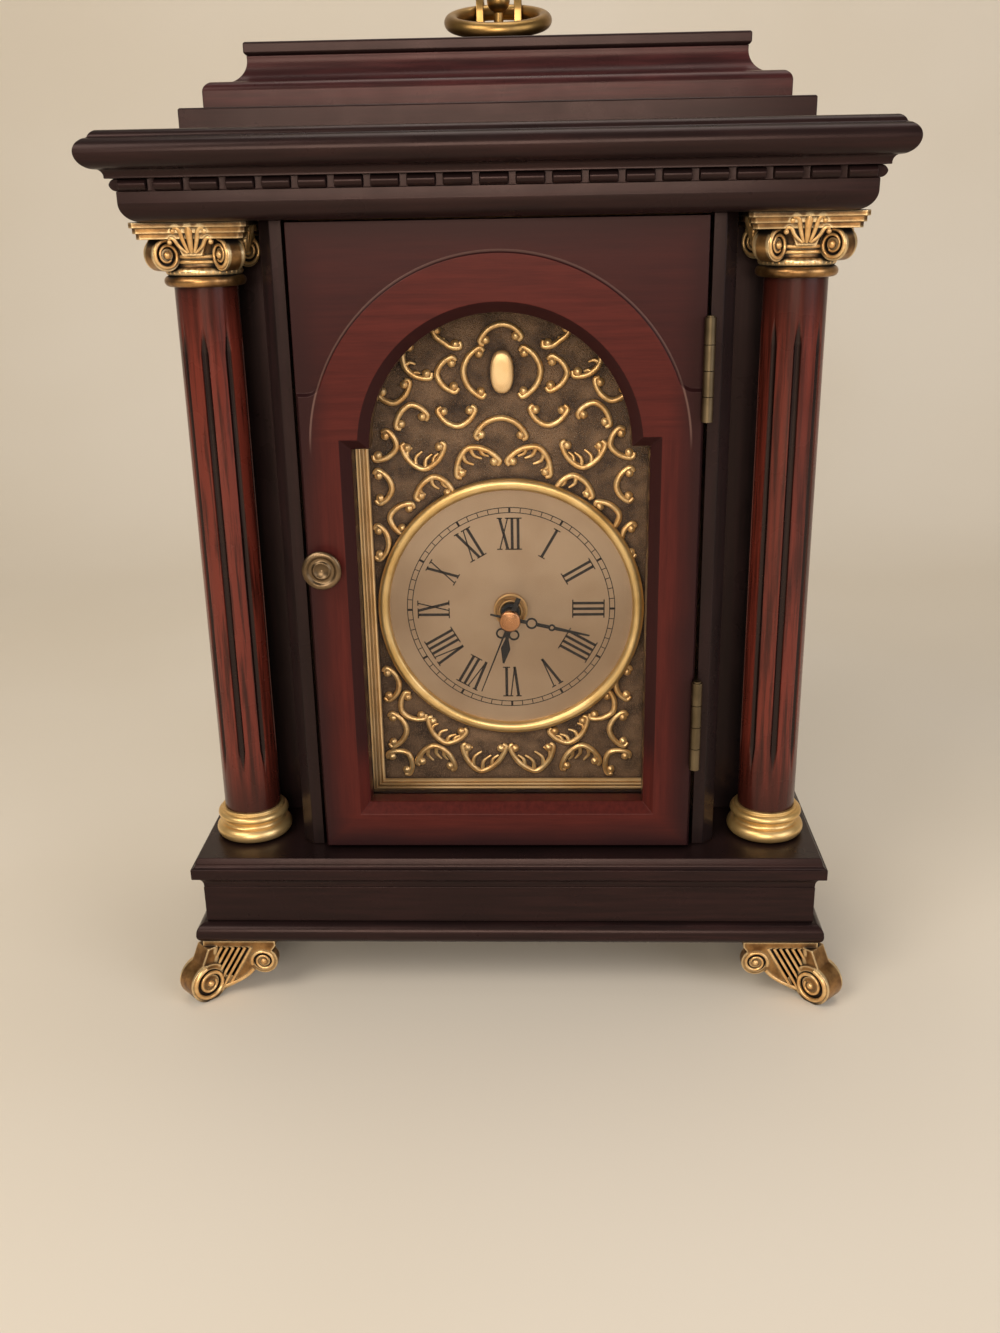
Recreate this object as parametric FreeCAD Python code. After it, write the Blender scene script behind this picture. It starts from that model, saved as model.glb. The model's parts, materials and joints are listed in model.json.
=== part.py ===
import FreeCAD, Part
import math
import os

"""An architectural mantel clock: a stepped and moulded wooden case on four cast scroll feet, with two
fluted columns, an arched and glazed door, an embossed dial plate, a quartz movement and a ring handle.

Millimetres. X runs to the right as the clock is faced, Y from front to back, Z up. The origin is on
the surface that the feet stand on, under the middle of the clock's width and depth.
"""

V = FreeCAD.Vector

# Overall size and the levels of the case, from the surface that the clock stands on.
cornice_half = 146.0
depth = 145.0
foot_height = 27.0
bottom_board_height = 8.8
plinth_height = 17.0
base_top_height = 14.6
body_height = 258.6
fascia_height = 10.8
dentil_height = 4.2
crown_height = 16.0
step_height = 7.9
cove_height = 18.8
cap_height = 4.7

front = -depth / 2.0
back = depth / 2.0
set_back = cornice_half - depth / 2.0
level_bottom = foot_height
level_plinth = level_bottom + bottom_board_height
level_base = level_plinth + plinth_height
level_floor = level_base + base_top_height
level_soffit = level_floor + body_height
level_dentil = level_soffit + fascia_height
level_crown = level_dentil + dentil_height
level_step = level_crown + crown_height
level_cove = level_step + step_height
level_cap = level_cove + cove_height
level_top = level_cap + cap_height

overrun = 2.0
seat_gap = 0.3
dowel_fit = 0.05
running_fit = 0.06

# Mouldings, measured in from the cornice's nose. Each stands as far forward as it stands to the side.
plinth_in = 14.2
plinth_half = cornice_half - plinth_in
bottom_nose = 4.4
bottom_under = 2.0
slab_out = 4.0
slab_height = 4.8
slab_cove_height = 5.4
ledge_in = 1.9
ledge_round = 2.0
base_lip_in = 0.8
fascia_in = 10.7
fascia_half = cornice_half - fascia_in
fascia_out = 6.4
fascia_cyma = 7.0
board_in = 19.0
board_half = cornice_half - board_in
dentil_out = 3.2
dentil_in = 0.2
dentil_count = 21
dentil_gap = 2.9
crown_cavetto = 3.1
crown_foot_in = 7.6
crown_foot_half = cornice_half - crown_foot_in
nose_start_in = 6.0
nose_start_half = cornice_half - nose_start_in
nose_height = 10.4
nose_top_in = 4.3
crown_edge_in = 3.6
step_in = 30.4
step_half = cornice_half - step_in
step_edge = 0.8
tier_in = 38.1
tier_half = cornice_half - tier_in
tier_height = 5.6
shoulder = 3.6
cove_foot_in = 46.2
cove_foot_half = cornice_half - cove_foot_in
neck_in = 52.5
neck_half = cornice_half - neck_in
cap_bead = 0.9

# The case: side walls, the walls behind the columns and the stiles beside the door.
side_in = 20.5
side_half = cornice_half - side_in
side_wall = 10.0
recess_from_front = 61.0
recess_y = front + recess_from_front
recess_wall = 8.0
stile_half = 89.4
stile_width = 9.6
stile_from_front = 26.1
stile_front = front + stile_from_front
stile_chamfer = 4.8
back_panel_in = 4.0
back_panel_wall = 8.0
back_door_half = 66.0
back_door_low = 28.0
back_door_above = 26.6
back_door_height = body_height - back_door_low - back_door_above
back_door_wall = 5.0
back_door_gap = 0.8
back_door_lip = 4.0
back_barrel = 1.7
back_pin = 0.8
back_leaf = 0.6
back_leaf_width = 14.0
back_hinge_height = 25.0
back_hinge_from_end = 22.0
back_pull_radius = 4.0
back_pull_length = 3.4
back_pull_neck = 2.2
back_pull_from_edge = 11.0

# Columns.
column_in = 32.6
column_x = cornice_half - column_in
column_from_front = 40.7
column_y = front + column_from_front
shaft_radius = 12.15
column_base_height = 13.6
capital_height = 23.6
flute_count = 8
flute_radius = 1.6
flute_in = 0.35
flute_low = 14.0
flute_high = 10.0
flute_point = 15.0
base_torus_radius = 16.5
base_torus_height = 6.2
base_scotia_radius = 13.9
base_scotia_height = 2.4
base_scotia_in = 0.6
base_ring_radius = 15.4
base_ring_height = 3.6
base_neck_radius = 13.4
astragal_radius = 15.6
astragal_height = 3.6
neck_radius = 12.7
egg_radius = 14.6
egg_height = 3.4
bell_radius = 15.4
abacus_half = 21.9
abacus_step = 0.95
abacus_band = 2.05
abacus_bands = 3
abacus_hollow = 1.5
abacus_cant = 1.6
volute_radius = 5.9
volute_width = 7.0
volute_out = 17.6
volute_below_top = 11.9
volute_groove_out = 4.4
volute_groove_in = 2.5
volute_groove_depth = 0.9
palmette_width = 12.5
palmette_height = 11.0
palmette_thick = 3.2
palmette_below_top = 1.2
palmette_foot_share = 0.6
palmette_tip_share = 0.62
dowel_radius = 4.0
dowel_in_board = 7.0
dowel_in_shaft = 14.0

# Scroll feet. Sizes run from the corner of the bottom board, inwards, down and outwards.
foot_plate = 2.4
foot_reach = 32.0
foot_plate_tail = 6.0
foot_wing = 5.0
foot_small_in = 26.4
foot_small_down = 9.8
foot_small_radius = 6.1
foot_rim_in = 15.0
foot_rim_up = 6.6
foot_big_radius = 9.0
foot_big_out = 1.2
foot_big_width = 11.0
foot_flat = 0.4
foot_ridge = 4.4
foot_ridge_in = 12.0
foot_ridge_low = 9.0
foot_ridge_fold_share = 0.5
foot_brow_out_share = 0.3
foot_brow_up_share = 0.9
foot_groove_share = 0.72
foot_groove_width_share = 0.26
foot_groove_depth = 0.9
foot_flute_count = 6
foot_flute_radius = 1.0
foot_flute_start = 7.0
foot_flute_pitch = 2.6
foot_flute_lean = 8.0
foot_flute_drop = 14.0
foot_screw_radius = 1.7
foot_screw_head = 3.3
foot_screw_head_height = 1.6
foot_screw_in = 8.5
foot_screw_length = 8.0
rear_foot_in = 11.6

# Door: a slab with a raised arched band, an opening with square shoulders, and glass in a rebate.
door_half = 78.2
door_gap = 1.6
door_end_gap = 0.8
door_from_front = 21.4
door_front = front + door_from_front
door_wall = 17.0
spandrel_drop = 1.8
band_edge = 1.0
band_ledge = 195.3
band_radius = 73.8
band_fillet = 5.0
arch_centre = 173.1
arch_radius = 55.4
opening_half = 62.5
opening_low = 16.6
shoulder_up = 4.3
opening_bevel = 4.2
rebate_depth = 5.0
glass_thick = 2.0
glass_play = 0.4
retainer_width = 3.6

knob_from_edge = 6.7
knob_x = knob_from_edge - door_half
knob_up = 126.7
knob_radius = 7.9
knob_neck = 5.0
knob_length = 6.2
knob_rim = 1.6
knob_step_in = 2.0
knob_dish_radius = 3.2
knob_dish_depth = 1.1
knob_screw_radius = 1.6
knob_screw_head = 3.0
knob_screw_head_height = 1.4
knob_screw_in_knob = 3.6
strike_width = 12.0
strike_height = 20.0
strike_thick = 1.0
strike_in = 1.5
magnet_depth = 11.0
magnet_width = 9.0
magnet_height = 16.0
magnet_gap = 0.3

# Door hinges: a leaf on the stile, a leaf on the door's edge and a pin.
hinge_height = 38.5
hinge_up_low = 58.1
hinge_up_high = 202.6
hinge_knuckles = 4
hinge_knuckle_gap = 0.3
hinge_barrel = 2.2
hinge_pin = 1.0
hinge_leaf = 0.7
hinge_leaf_width = 14.0
hinge_forward = 2.4
hinge_pin_head = 1.7
hinge_pin_head_height = 0.7

# Dial and its surround. The whole dial assembly is fixed a little to the right of the door's middle.
dial_x = 2.2
dial_up = 96.6
backboard_wall = 6.0
plate_thick = 1.0
plate_half = 66.0
plate_low = 8.0
frame_inner_half = 58.4
frame_width = 9.0
frame_low = 15.8
frame_thick = 3.0
frame_slope = 5.0
frame_top = 176.0
boss_width = 8.4
boss_height = 17.0
boss_up = 197.9
boss_rise = 1.8
bezel_radius = 57.5
bezel_inner = 52.6
bezel_height = 3.6
dial_radius = 52.9
dial_thick = 0.8
dial_hole = 4.1

# Quartz movement, its tubes and the hands.
movement_width = 56.0
movement_height = 58.0
movement_depth = 16.0
movement_up_share = 0.56
movement_corner = 4.0
bush_radius = 4.0
bush_length = 13.0
bush_bore = 2.62
bore_depth = 6.0
nut_radius = 7.4
nut_height = 1.4
nut_hex = 5.6
nut_hex_height = 1.6
tube_wall = 0.76
pinion_wall = 1.0
battery_radius = 7.1
battery_length = 49.0
battery_nub = 2.6
battery_nub_length = 1.4
battery_play = 0.5
battery_up = 10.5
knob_set_radius = 5.5
knob_set_length = 4.0
knob_set_shaft = 1.5
knob_set_in = 3.0
knob_set_teeth = 12
knob_set_tooth = 0.6
hand_thick = 0.5
hour_forward = 10.2
minute_forward = 13.2
second_forward = 15.6
hub_radius = 3.0
hub_height = 1.4
cap_radius = 4.3
cap_cone = 1.7
hour_angle = 188.6
minute_angle = 103.0
second_angle = 201.5
hour_length = 21.4
hour_ring_out = 8.0
hour_ring_side = 2.7
hour_ring = 2.4
hour_spear_start = 10.4
hour_spear_half = 2.1
hour_arm_half = 0.75
minute_length = 34.6
minute_ring_out = 9.4
minute_ring = 2.5
minute_small_out = 18.2
minute_small = 1.55
minute_tail = 8.6
minute_arm_half = 0.8
minute_tip_half = 0.35
ring_band = 0.8
second_length = 34.4
second_tail = 10.5
second_arm_half = 0.4
second_tip_half = 0.2
second_tail_half = 1.0

# Ring handle and its post on the cap.
handle_from_back = 46.5
handle_y = back - handle_from_back
handle_pivot_up = 13.0
ring_radius = 18.1
ring_tube = 2.9
ear_in = 6.0
ear_thick = 3.0
ear_hole = 4.45
ear_radius = 6.3
ear_tip = 9.6
post_flange = 11.5
post_flange_height = 2.4
post_saddle_height = 2.2
post_saddle_depth = 5.2
post_stud = 3.0
post_stud_length = 16.0
ball_radius = 4.5
ball_forward = 8.8
ball_up = 3.4
ball_stem = 1.9
ball_stem_back = 1.4

node = {}


def box(x0, x1, y0, y1, z0, z1):
    """A block between two corners."""
    return Part.makeBox(x1 - x0, y1 - y0, z1 - z0, V(x0, y0, z0))


def rod(radius, start, end):
    """A round rod from one point to another."""
    axis = end - start
    return Part.makeCylinder(radius, axis.Length, start, axis)


def tube(outer, inner, start, end):
    """A round tube from one point to another."""
    return rod(outer, start, end).cut(rod(inner, start, end))


def wire(place, start, steps):
    """A closed outline. A step of two numbers is a line's end, one of four an arc's middle and end."""
    edges = []
    here = start
    for step in steps:
        there = step[-2:]
        if len(step) == 2:
            edges.append(Part.makeLine(place(*here), place(*there)))
        else:
            edges.append(Part.Arc(place(*here), place(*step[:2]), place(*there)).toShape())
        here = there
    if (place(*here) - place(*start)).Length > 0:
        edges.append(Part.makeLine(place(*here), place(*start)))
    return Part.Wire(edges)


def prism(place, start, steps, travel):
    """An outline pulled along a vector."""
    return Part.Face(wire(place, start, steps)).extrude(travel)


def turned(place, start, steps, centre, axis):
    """An outline of radius and height turned once round an axis."""
    return Part.Face(wire(place, start, steps)).revolve(centre, axis, 360)


def upright(x, y):
    """Places a radius and a height on a vertical axis."""
    return lambda radius, height: V(x + radius, y, height)


def joined(shapes):
    """Several solids made one, without the seams between them."""
    first, *rest = shapes
    return first.multiFuse(rest).removeSplitter()


def mirrored(shape):
    """The same shape on the other side of the clock."""
    return shape.mirror(V(0, 0, 0), V(1, 0, 0))


def flat_first(a0, b0, a1, b1):
    """The step of a quarter round that leaves along the first direction."""
    share = math.sqrt(0.5)
    return (a0 + (a1 - a0) * share, b0 + (b1 - b0) * (1 - share), a1, b1)


def upright_first(a0, b0, a1, b1):
    """The step of a quarter round that leaves along the second direction."""
    share = math.sqrt(0.5)
    return (a0 + (a1 - a0) * (1 - share), b0 + (b1 - b0) * share, a1, b1)


def crowned(radius, foot, top):
    """The step of an arc from a radius to the axis, square to the axis there."""
    rise = top - foot
    sphere = (radius**2 + rise**2) / (2 * abs(rise))
    sag = sphere - math.sqrt(sphere**2 - radius**2 / 4.0)
    return (radius / 2.0, top - math.copysign(sag, rise), 0, top)


def reversed_left(start, steps):
    """The steps of the left side of an elevation, from the top down, mirrored from the right side."""
    points = [start]
    for step in steps:
        points.append(step[-2:])
    left = []
    for index in range(len(steps) - 1, -1, -1):
        end = points[index]
        if len(steps[index]) == 4:
            left.append((-steps[index][0], steps[index][1], -end[0], end[1]))
        else:
            left.append((-end[0], end[1]))
    return left


def moulding(start, steps):
    """A board moulded on its front and both ends and flat behind. The profile runs upwards, as half
    width and height."""
    top_half, top = steps[-1][-2:]
    elevation = list(steps)
    elevation.append((-top_half, top))
    elevation.extend(reversed_left(start, steps))
    faced = prism(lambda h, z: V(h, front - overrun, z), start, elevation, V(0, depth + overrun, 0))
    profile = list(steps)
    profile.append((set_back - back, top))
    profile.append((set_back - back, start[1]))
    ended = prism(
        lambda h, z: V(-cornice_half - overrun, set_back - h, z),
        start,
        profile,
        V(2 * (cornice_half + overrun), 0, 0),
    )
    return faced.common(ended)


def mitred(shape):
    """A frame of three sides cut into its front and its two returns along the mitres."""
    far = cornice_half + depth
    low = shape.BoundBox.ZMin - overrun
    up = V(0, 0, shape.BoundBox.ZLength + 2 * overrun)
    flat = lambda x, y: V(x, y, low)
    face = prism(flat, (-far, set_back - far), [(far, set_back - far), (0, set_back)], up)
    right = prism(flat, (far, set_back - far), [(far, far), (0, far), (0, set_back)], up)
    return Part.makeCompound([shape.common(face), shape.common(right), shape.common(mirrored(right))])


def drilled_for_dowels(shape, low, high):
    """Holes over a column's axis on both sides of the clock."""
    for side in (-1, 1):
        start = V(side * column_x, column_y, low)
        shape = shape.cut(rod(dowel_radius + dowel_fit, start, V(start.x, start.y, high)))
    return shape


def base_boards():
    """The moulded bottom board, the four plinth boards and the moulded top board of the base."""
    nose = plinth_half + bottom_nose
    under = nose - bottom_under
    middle = level_bottom + bottom_board_height / 2.0
    bottom = moulding(
        (under, level_bottom),
        [
            flat_first(under, level_bottom, nose, middle),
            upright_first(nose, middle, plinth_half, level_plinth),
        ],
    )
    node["base_bottom_board"] = foot_holes(bottom)
    plinth = moulding((plinth_half, level_plinth), [(plinth_half, level_base)])
    inner = plinth_half - side_wall
    hollow = box(-inner, inner, set_back - inner, back, level_plinth, level_base)
    boards = list(mitred(plinth.cut(hollow)).Solids)
    boards.append(box(-inner, inner, back - side_wall, back, level_plinth, level_base))
    node["plinth_boards"] = Part.makeCompound(boards)
    slab = plinth_half + slab_out
    slab_low = level_base + slab_cove_height
    slab_high = slab_low + slab_height
    ledge = slab - ledge_in
    top = moulding(
        (plinth_half, level_base),
        [
            upright_first(plinth_half, level_base, slab, slab_low),
            (slab, slab_high),
            flat_first(slab, slab_high, ledge, slab_high + ledge_round),
            (ledge - base_lip_in, level_floor),
        ],
    )
    node["base_top_board"] = drilled_for_dowels(top, level_floor - dowel_in_board, level_floor)


def foot_corner(side, row):
    """The corner that a foot stands under, with the directions inwards from it."""
    x = plinth_half + bottom_nose - bottom_under
    y = set_back - x if row < 0 else back - rear_foot_in
    return V(side * x, y, 0), -side, -row


def foot_screw_places():
    """The middle of every foot screw, two in each foot."""
    near = foot_screw_in
    far = foot_reach - foot_screw_in
    for side in (-1, 1):
        for row in (-1, 1):
            corner, across, along = foot_corner(side, row)
            yield corner + V(across * near, along * far, 0)
            yield corner + V(across * far, along * near, 0)


def foot_holes(board):
    """Pilot holes for the foot screws in the bottom board."""
    for place in foot_screw_places():
        low = place + V(0, 0, level_bottom)
        high = low + V(0, 0, foot_screw_length - foot_plate)
        board = board.cut(rod(foot_screw_radius, low, high))
    return board


def scroll_foot():
    """A cast foot for the front left corner: two fluted wings that end in small volutes, and a large
    volute set across the corner. Its corner is at the origin, under the bottom board."""
    plate_low = level_bottom - foot_plate
    tail = foot_plate_tail
    plate = prism(
        lambda x, y: V(x, y, plate_low),
        (0, 0),
        [(foot_reach, 0), (foot_reach, tail), (tail, foot_reach), (0, foot_reach)],
        V(0, 0, foot_plate),
    )
    small_z = level_bottom - foot_small_down
    rim_start = foot_small_in - foot_small_radius * math.sqrt(0.5)
    rim_low = small_z - foot_small_radius * math.sqrt(0.5)
    outline = [
        (foot_reach, plate_low),
        (foot_small_in, small_z),
        (rim_start, rim_low),
        (foot_rim_in, foot_rim_up, foot_big_out, foot_flat),
        (0, foot_flat),
    ]
    web = prism(lambda x, z: V(x, 0, z), (0, plate_low), outline, V(0, foot_wing, 0))
    small_start = V(foot_small_in, 0, small_z)
    small_end = small_start + V(0, foot_wing, 0)
    wing = web.fuse(rod(foot_small_radius, small_start, small_end))
    wing = wing.cut(foot_groove(small_start, V(0, 1, 0), foot_small_radius))
    for index in range(foot_flute_count):
        top = V(foot_flute_start + index * foot_flute_pitch, 0, plate_low - foot_flute_radius)
        end = top - V(foot_flute_lean, 0, foot_flute_drop)
        if end.x < 0:
            end = top + (end - top) * (top.x / (top.x - end.x))
        wing = wing.cut(rod(foot_flute_radius, top, end))
    other = wing.mirror(V(0, 0, 0), V(1, -1, 0))
    slant = V(1, 1, 0)
    slant.normalize()
    across = V(1, -1, 0)
    across.normalize()
    big_z = foot_big_radius - foot_flat
    ridge = prism(
        lambda d, z: slant * -d - across * foot_ridge + V(0, 0, z),
        (-foot_ridge_in, plate_low),
        [
            (0, plate_low),
            (
                foot_big_out + foot_big_radius * foot_brow_out_share,
                big_z + foot_big_radius * foot_brow_up_share,
            ),
            (foot_big_out, big_z),
            (-foot_ridge_in * foot_ridge_fold_share, foot_rim_up),
            (-foot_ridge_in, foot_ridge_low),
        ],
        across * (2 * foot_ridge),
    )
    centre = slant * -foot_big_out + V(0, 0, big_z)
    half = across * (foot_big_width / 2.0)
    big = rod(foot_big_radius, centre - half, centre + half)
    foot = joined([plate, wing, other, ridge, big])
    foot = foot.cut(foot_groove(centre + half, across * -1, foot_big_radius))
    foot = foot.cut(foot_groove(centre - half, across, foot_big_radius))
    reach = foot_reach + foot_big_radius
    foot = foot.cut(box(-reach, reach, -reach, reach, -foot_big_radius, 0))
    return foot


def foot_groove(centre, inwards, radius):
    """The ring cut into a volute's face."""
    outer = radius * foot_groove_share
    inner = outer - radius * foot_groove_width_share
    return tube(outer, inner, centre, centre + inwards * foot_groove_depth)


def feet():
    """Four feet, each held by two screws."""
    pattern = scroll_foot()
    for name, side, row in (
        ("foot_front_left", -1, -1),
        ("foot_front_right", 1, -1),
        ("foot_rear_left", -1, 1),
        ("foot_rear_right", 1, 1),
    ):
        foot = pattern.copy()
        if side > 0:
            foot = mirrored(foot)
        if row > 0:
            foot = foot.mirror(V(0, 0, 0), V(0, 1, 0))
        corner = foot_corner(side, row)[0]
        foot.translate(corner)
        for place in foot_screw_places():
            head_low = place + V(0, 0, level_bottom - foot_plate - foot_screw_head_height)
            foot = foot.cut(rod(foot_screw_head + dowel_fit, V(place.x, place.y, 0), head_low))
            foot = foot.cut(foot_screw(place))
        node[name] = foot
    node["foot_screws"] = Part.makeCompound([foot_screw(place) for place in foot_screw_places()])


def foot_screw(place):
    """A countersunk screw up through a foot's plate."""
    head_low = level_bottom - foot_plate - foot_screw_head_height
    low = V(place.x, place.y, head_low)
    neck = low + V(0, 0, foot_screw_head_height)
    head = Part.makeCone(foot_screw_head, foot_screw_radius, foot_screw_head_height, low, V(0, 0, 1))
    return head.fuse(rod(foot_screw_radius, neck, neck + V(0, 0, foot_screw_length)))


def case_walls():
    """Side walls, the walls behind the columns, the stiles, the top board and the back."""
    inner = side_half - side_wall
    wall_back = recess_y + recess_wall
    stile_in = stile_half - stile_width
    side = box(inner, side_half, wall_back, back, level_floor, level_soffit)
    node["case_side_right"] = side
    node["case_side_left"] = mirrored(side)
    recess = box(stile_in, side_half, recess_y, wall_back, level_floor, level_soffit)
    node["recess_wall_right"] = recess
    node["recess_wall_left"] = mirrored(recess)
    stile = prism(
        lambda x, y: V(x, y, level_floor),
        (stile_in, recess_y),
        [
            (stile_in, stile_front),
            (stile_half - stile_chamfer, stile_front),
            (stile_half, stile_front + stile_chamfer),
            (stile_half, recess_y),
        ],
        V(0, 0, body_height),
    )
    node["front_stile_right"] = stile
    node["front_stile_left"] = mirrored(stile)
    board = box(-board_half, board_half, set_back - board_half, back, level_soffit, level_crown)
    node["case_top_board"] = drilled_for_dowels(board, level_soffit, level_soffit + dowel_in_board)
    back_wall()


def back_wall():
    """The back panel with its rebated opening, the door in it, its two hinges and its pull."""
    inner = side_half - side_wall
    outside = back - back_panel_in
    inside = outside - back_panel_wall
    low = level_floor + back_door_low
    high = low + back_door_height
    lip = outside - back_door_wall
    half = back_door_half + back_door_gap
    panel = box(-inner, inner, inside, outside, level_floor, level_soffit)
    panel = panel.cut(box(-half, half, lip, outside, low - back_door_gap, high + back_door_gap))
    clear = back_door_half - back_door_lip
    panel = panel.cut(box(-clear, clear, inside, lip, low + back_door_lip, high - back_door_lip))
    axis_x = back_door_half + back_door_gap / 2.0
    axis_y = outside + back_barrel
    starts = (low + back_hinge_from_end, high - back_hinge_from_end - back_hinge_height)
    fixed = []
    moving = []
    pins = []
    for start in starts:
        end = start + back_hinge_height
        middle = start + back_hinge_height / 2.0
        parted = middle + hinge_knuckle_gap
        fixed.append(back_hinge_leaf(axis_x, axis_y, outside, start, end, start, middle, 1))
        moving.append(back_hinge_leaf(axis_x, axis_y, outside, start, end, parted, end, -1))
        pins.append(rod(back_pin, V(axis_x, axis_y, start), V(axis_x, axis_y, end)))
    door = box(-back_door_half, back_door_half, lip + seat_gap, outside, low, high)
    node["back_panel"] = panel
    pull_x = back_pull_from_edge - back_door_half
    pull_z = (low + high) / 2.0
    shank = outside - back_door_wall / 2.0
    door = door.cut(rod(back_pull_neck, V(pull_x, shank, pull_z), V(pull_x, outside, pull_z)))
    node["back_door"] = door
    node["back_hinge_case_leaves"] = Part.makeCompound(fixed)
    node["back_hinge_door_leaves"] = Part.makeCompound(moving)
    node["back_hinge_pins"] = Part.makeCompound(pins)
    rim = outside + back_pull_length
    pull = turned(
        lambda r, y: V(pull_x + r, y, pull_z),
        (0, shank),
        [
            (back_pull_neck, shank),
            (back_pull_neck, outside),
            upright_first(back_pull_neck, outside, back_pull_radius, (outside + rim) / 2.0),
            crowned(back_pull_radius, (outside + rim) / 2.0, rim),
        ],
        V(pull_x, 0, pull_z),
        V(0, 1, 0),
    )
    node["back_door_pull"] = pull


def back_hinge_leaf(axis_x, axis_y, face, start, end, knuckle_low, knuckle_high, side):
    """A leaf screwed flat on the back, with its knuckle round the pin."""
    near = axis_x + side * (back_barrel + seat_gap)
    far = axis_x + side * back_leaf_width
    leaf = box(min(near, far), max(near, far), face, face + back_leaf, start, end)
    low = V(axis_x, axis_y, knuckle_low)
    high = V(axis_x, axis_y, knuckle_high)
    web = box(min(axis_x, near), max(axis_x, near), face, face + back_leaf, knuckle_low, knuckle_high)
    barrel = rod(back_barrel, low, high)
    shape = joined([leaf, web, barrel])
    shape = shape.cut(rod(back_pin + running_fit, low, high))
    return shape


def cornice():
    """The fascia, the dentil course and the crown, then the stepped top and its cap."""
    foot = fascia_half - fascia_out
    fascia = moulding(
        (foot, level_soffit),
        [
            flat_first(foot, level_soffit, fascia_half, level_soffit + fascia_cyma),
            (fascia_half, level_dentil),
        ],
    )
    core = box(-board_half, board_half, set_back - board_half, back, level_soffit, level_crown)
    node["cornice_fascia"] = mitred(fascia.cut(core))
    node["dentil_moulding"] = dentils(core)
    hollow_top = level_crown + crown_cavetto
    nose_middle = hollow_top + nose_height / 2.0
    nose_top = hollow_top + nose_height
    edge = cornice_half - nose_top_in
    node["cornice_crown"] = moulding(
        (crown_foot_half, level_crown),
        [
            upright_first(crown_foot_half, level_crown, nose_start_half, hollow_top),
            flat_first(nose_start_half, hollow_top, cornice_half, nose_middle),
            upright_first(cornice_half, nose_middle, edge, nose_top),
            upright_first(edge, nose_top, edge - crown_edge_in, level_step),
        ],
    )
    node["crown_step"] = moulding(
        (step_half, level_step),
        [
            (step_half, level_cove - step_edge),
            upright_first(step_half, level_cove - step_edge, step_half - step_edge, level_cove),
        ],
    )
    tier_top = level_cove + tier_height
    shelf = tier_top + shoulder
    cove = moulding(
        (tier_half, level_cove),
        [
            (tier_half, tier_top),
            upright_first(tier_half, tier_top, tier_half - shoulder, shelf),
            (cove_foot_half, shelf),
            flat_first(cove_foot_half, shelf, neck_half, level_cap),
        ],
    )
    bead = neck_half + cap_bead
    cap = moulding(
        (neck_half, level_cap),
        [
            (bead, level_cap + cap_bead),
            (bead, level_top - cap_bead),
            upright_first(bead, level_top - cap_bead, neck_half, level_top),
        ],
    )
    stud_low = V(0, handle_y, level_top - post_stud_length)
    stud = rod(post_stud + dowel_fit, stud_low, V(0, handle_y, level_top))
    node["crown_cove"] = cove.cut(stud)
    node["cap_board"] = cap.cut(stud)


def dentils(core):
    """A strip round the front and the ends, with a row of rounded blocks on it."""
    ground = fascia_half - dentil_in
    strip = moulding((ground, level_dentil), [(ground, level_crown)]).cut(core)
    pieces = list(mitred(strip).Solids)
    pitch = 2 * fascia_half / dentil_count
    width = pitch - dentil_gap
    middle_up = dentil_height / 2.0
    section = [
        (0, dentil_height),
        flat_first(0, dentil_height, dentil_out, middle_up),
        upright_first(dentil_out, middle_up, 0, 0),
    ]
    fronts = []
    for index in range(dentil_count):
        start = -fascia_half + pitch * index + dentil_gap / 2.0
        place = lambda out, up, x=start: V(x, set_back - ground - out, level_dentil + up)
        fronts.append(prism(place, (0, 0), section, V(width, 0, 0)))
    rows = int((depth - (cornice_half - fascia_half)) / pitch)
    rights = []
    for index in range(rows):
        start = set_back - fascia_half + pitch * index + dentil_gap / 2.0
        place = lambda out, up, y=start: V(ground + out, y, level_dentil + up)
        rights.append(prism(place, (0, 0), section, V(0, width, 0)))
    lefts = [mirrored(block) for block in rights]
    done = []
    for strip_piece in pieces:
        middle = strip_piece.CenterOfMass
        if abs(middle.x) < dentil_gap:
            done.append(joined([strip_piece] + fronts))
        elif middle.x > 0:
            done.append(joined([strip_piece] + rights))
        else:
            done.append(joined([strip_piece] + lefts))
    return Part.makeCompound(done)


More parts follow.
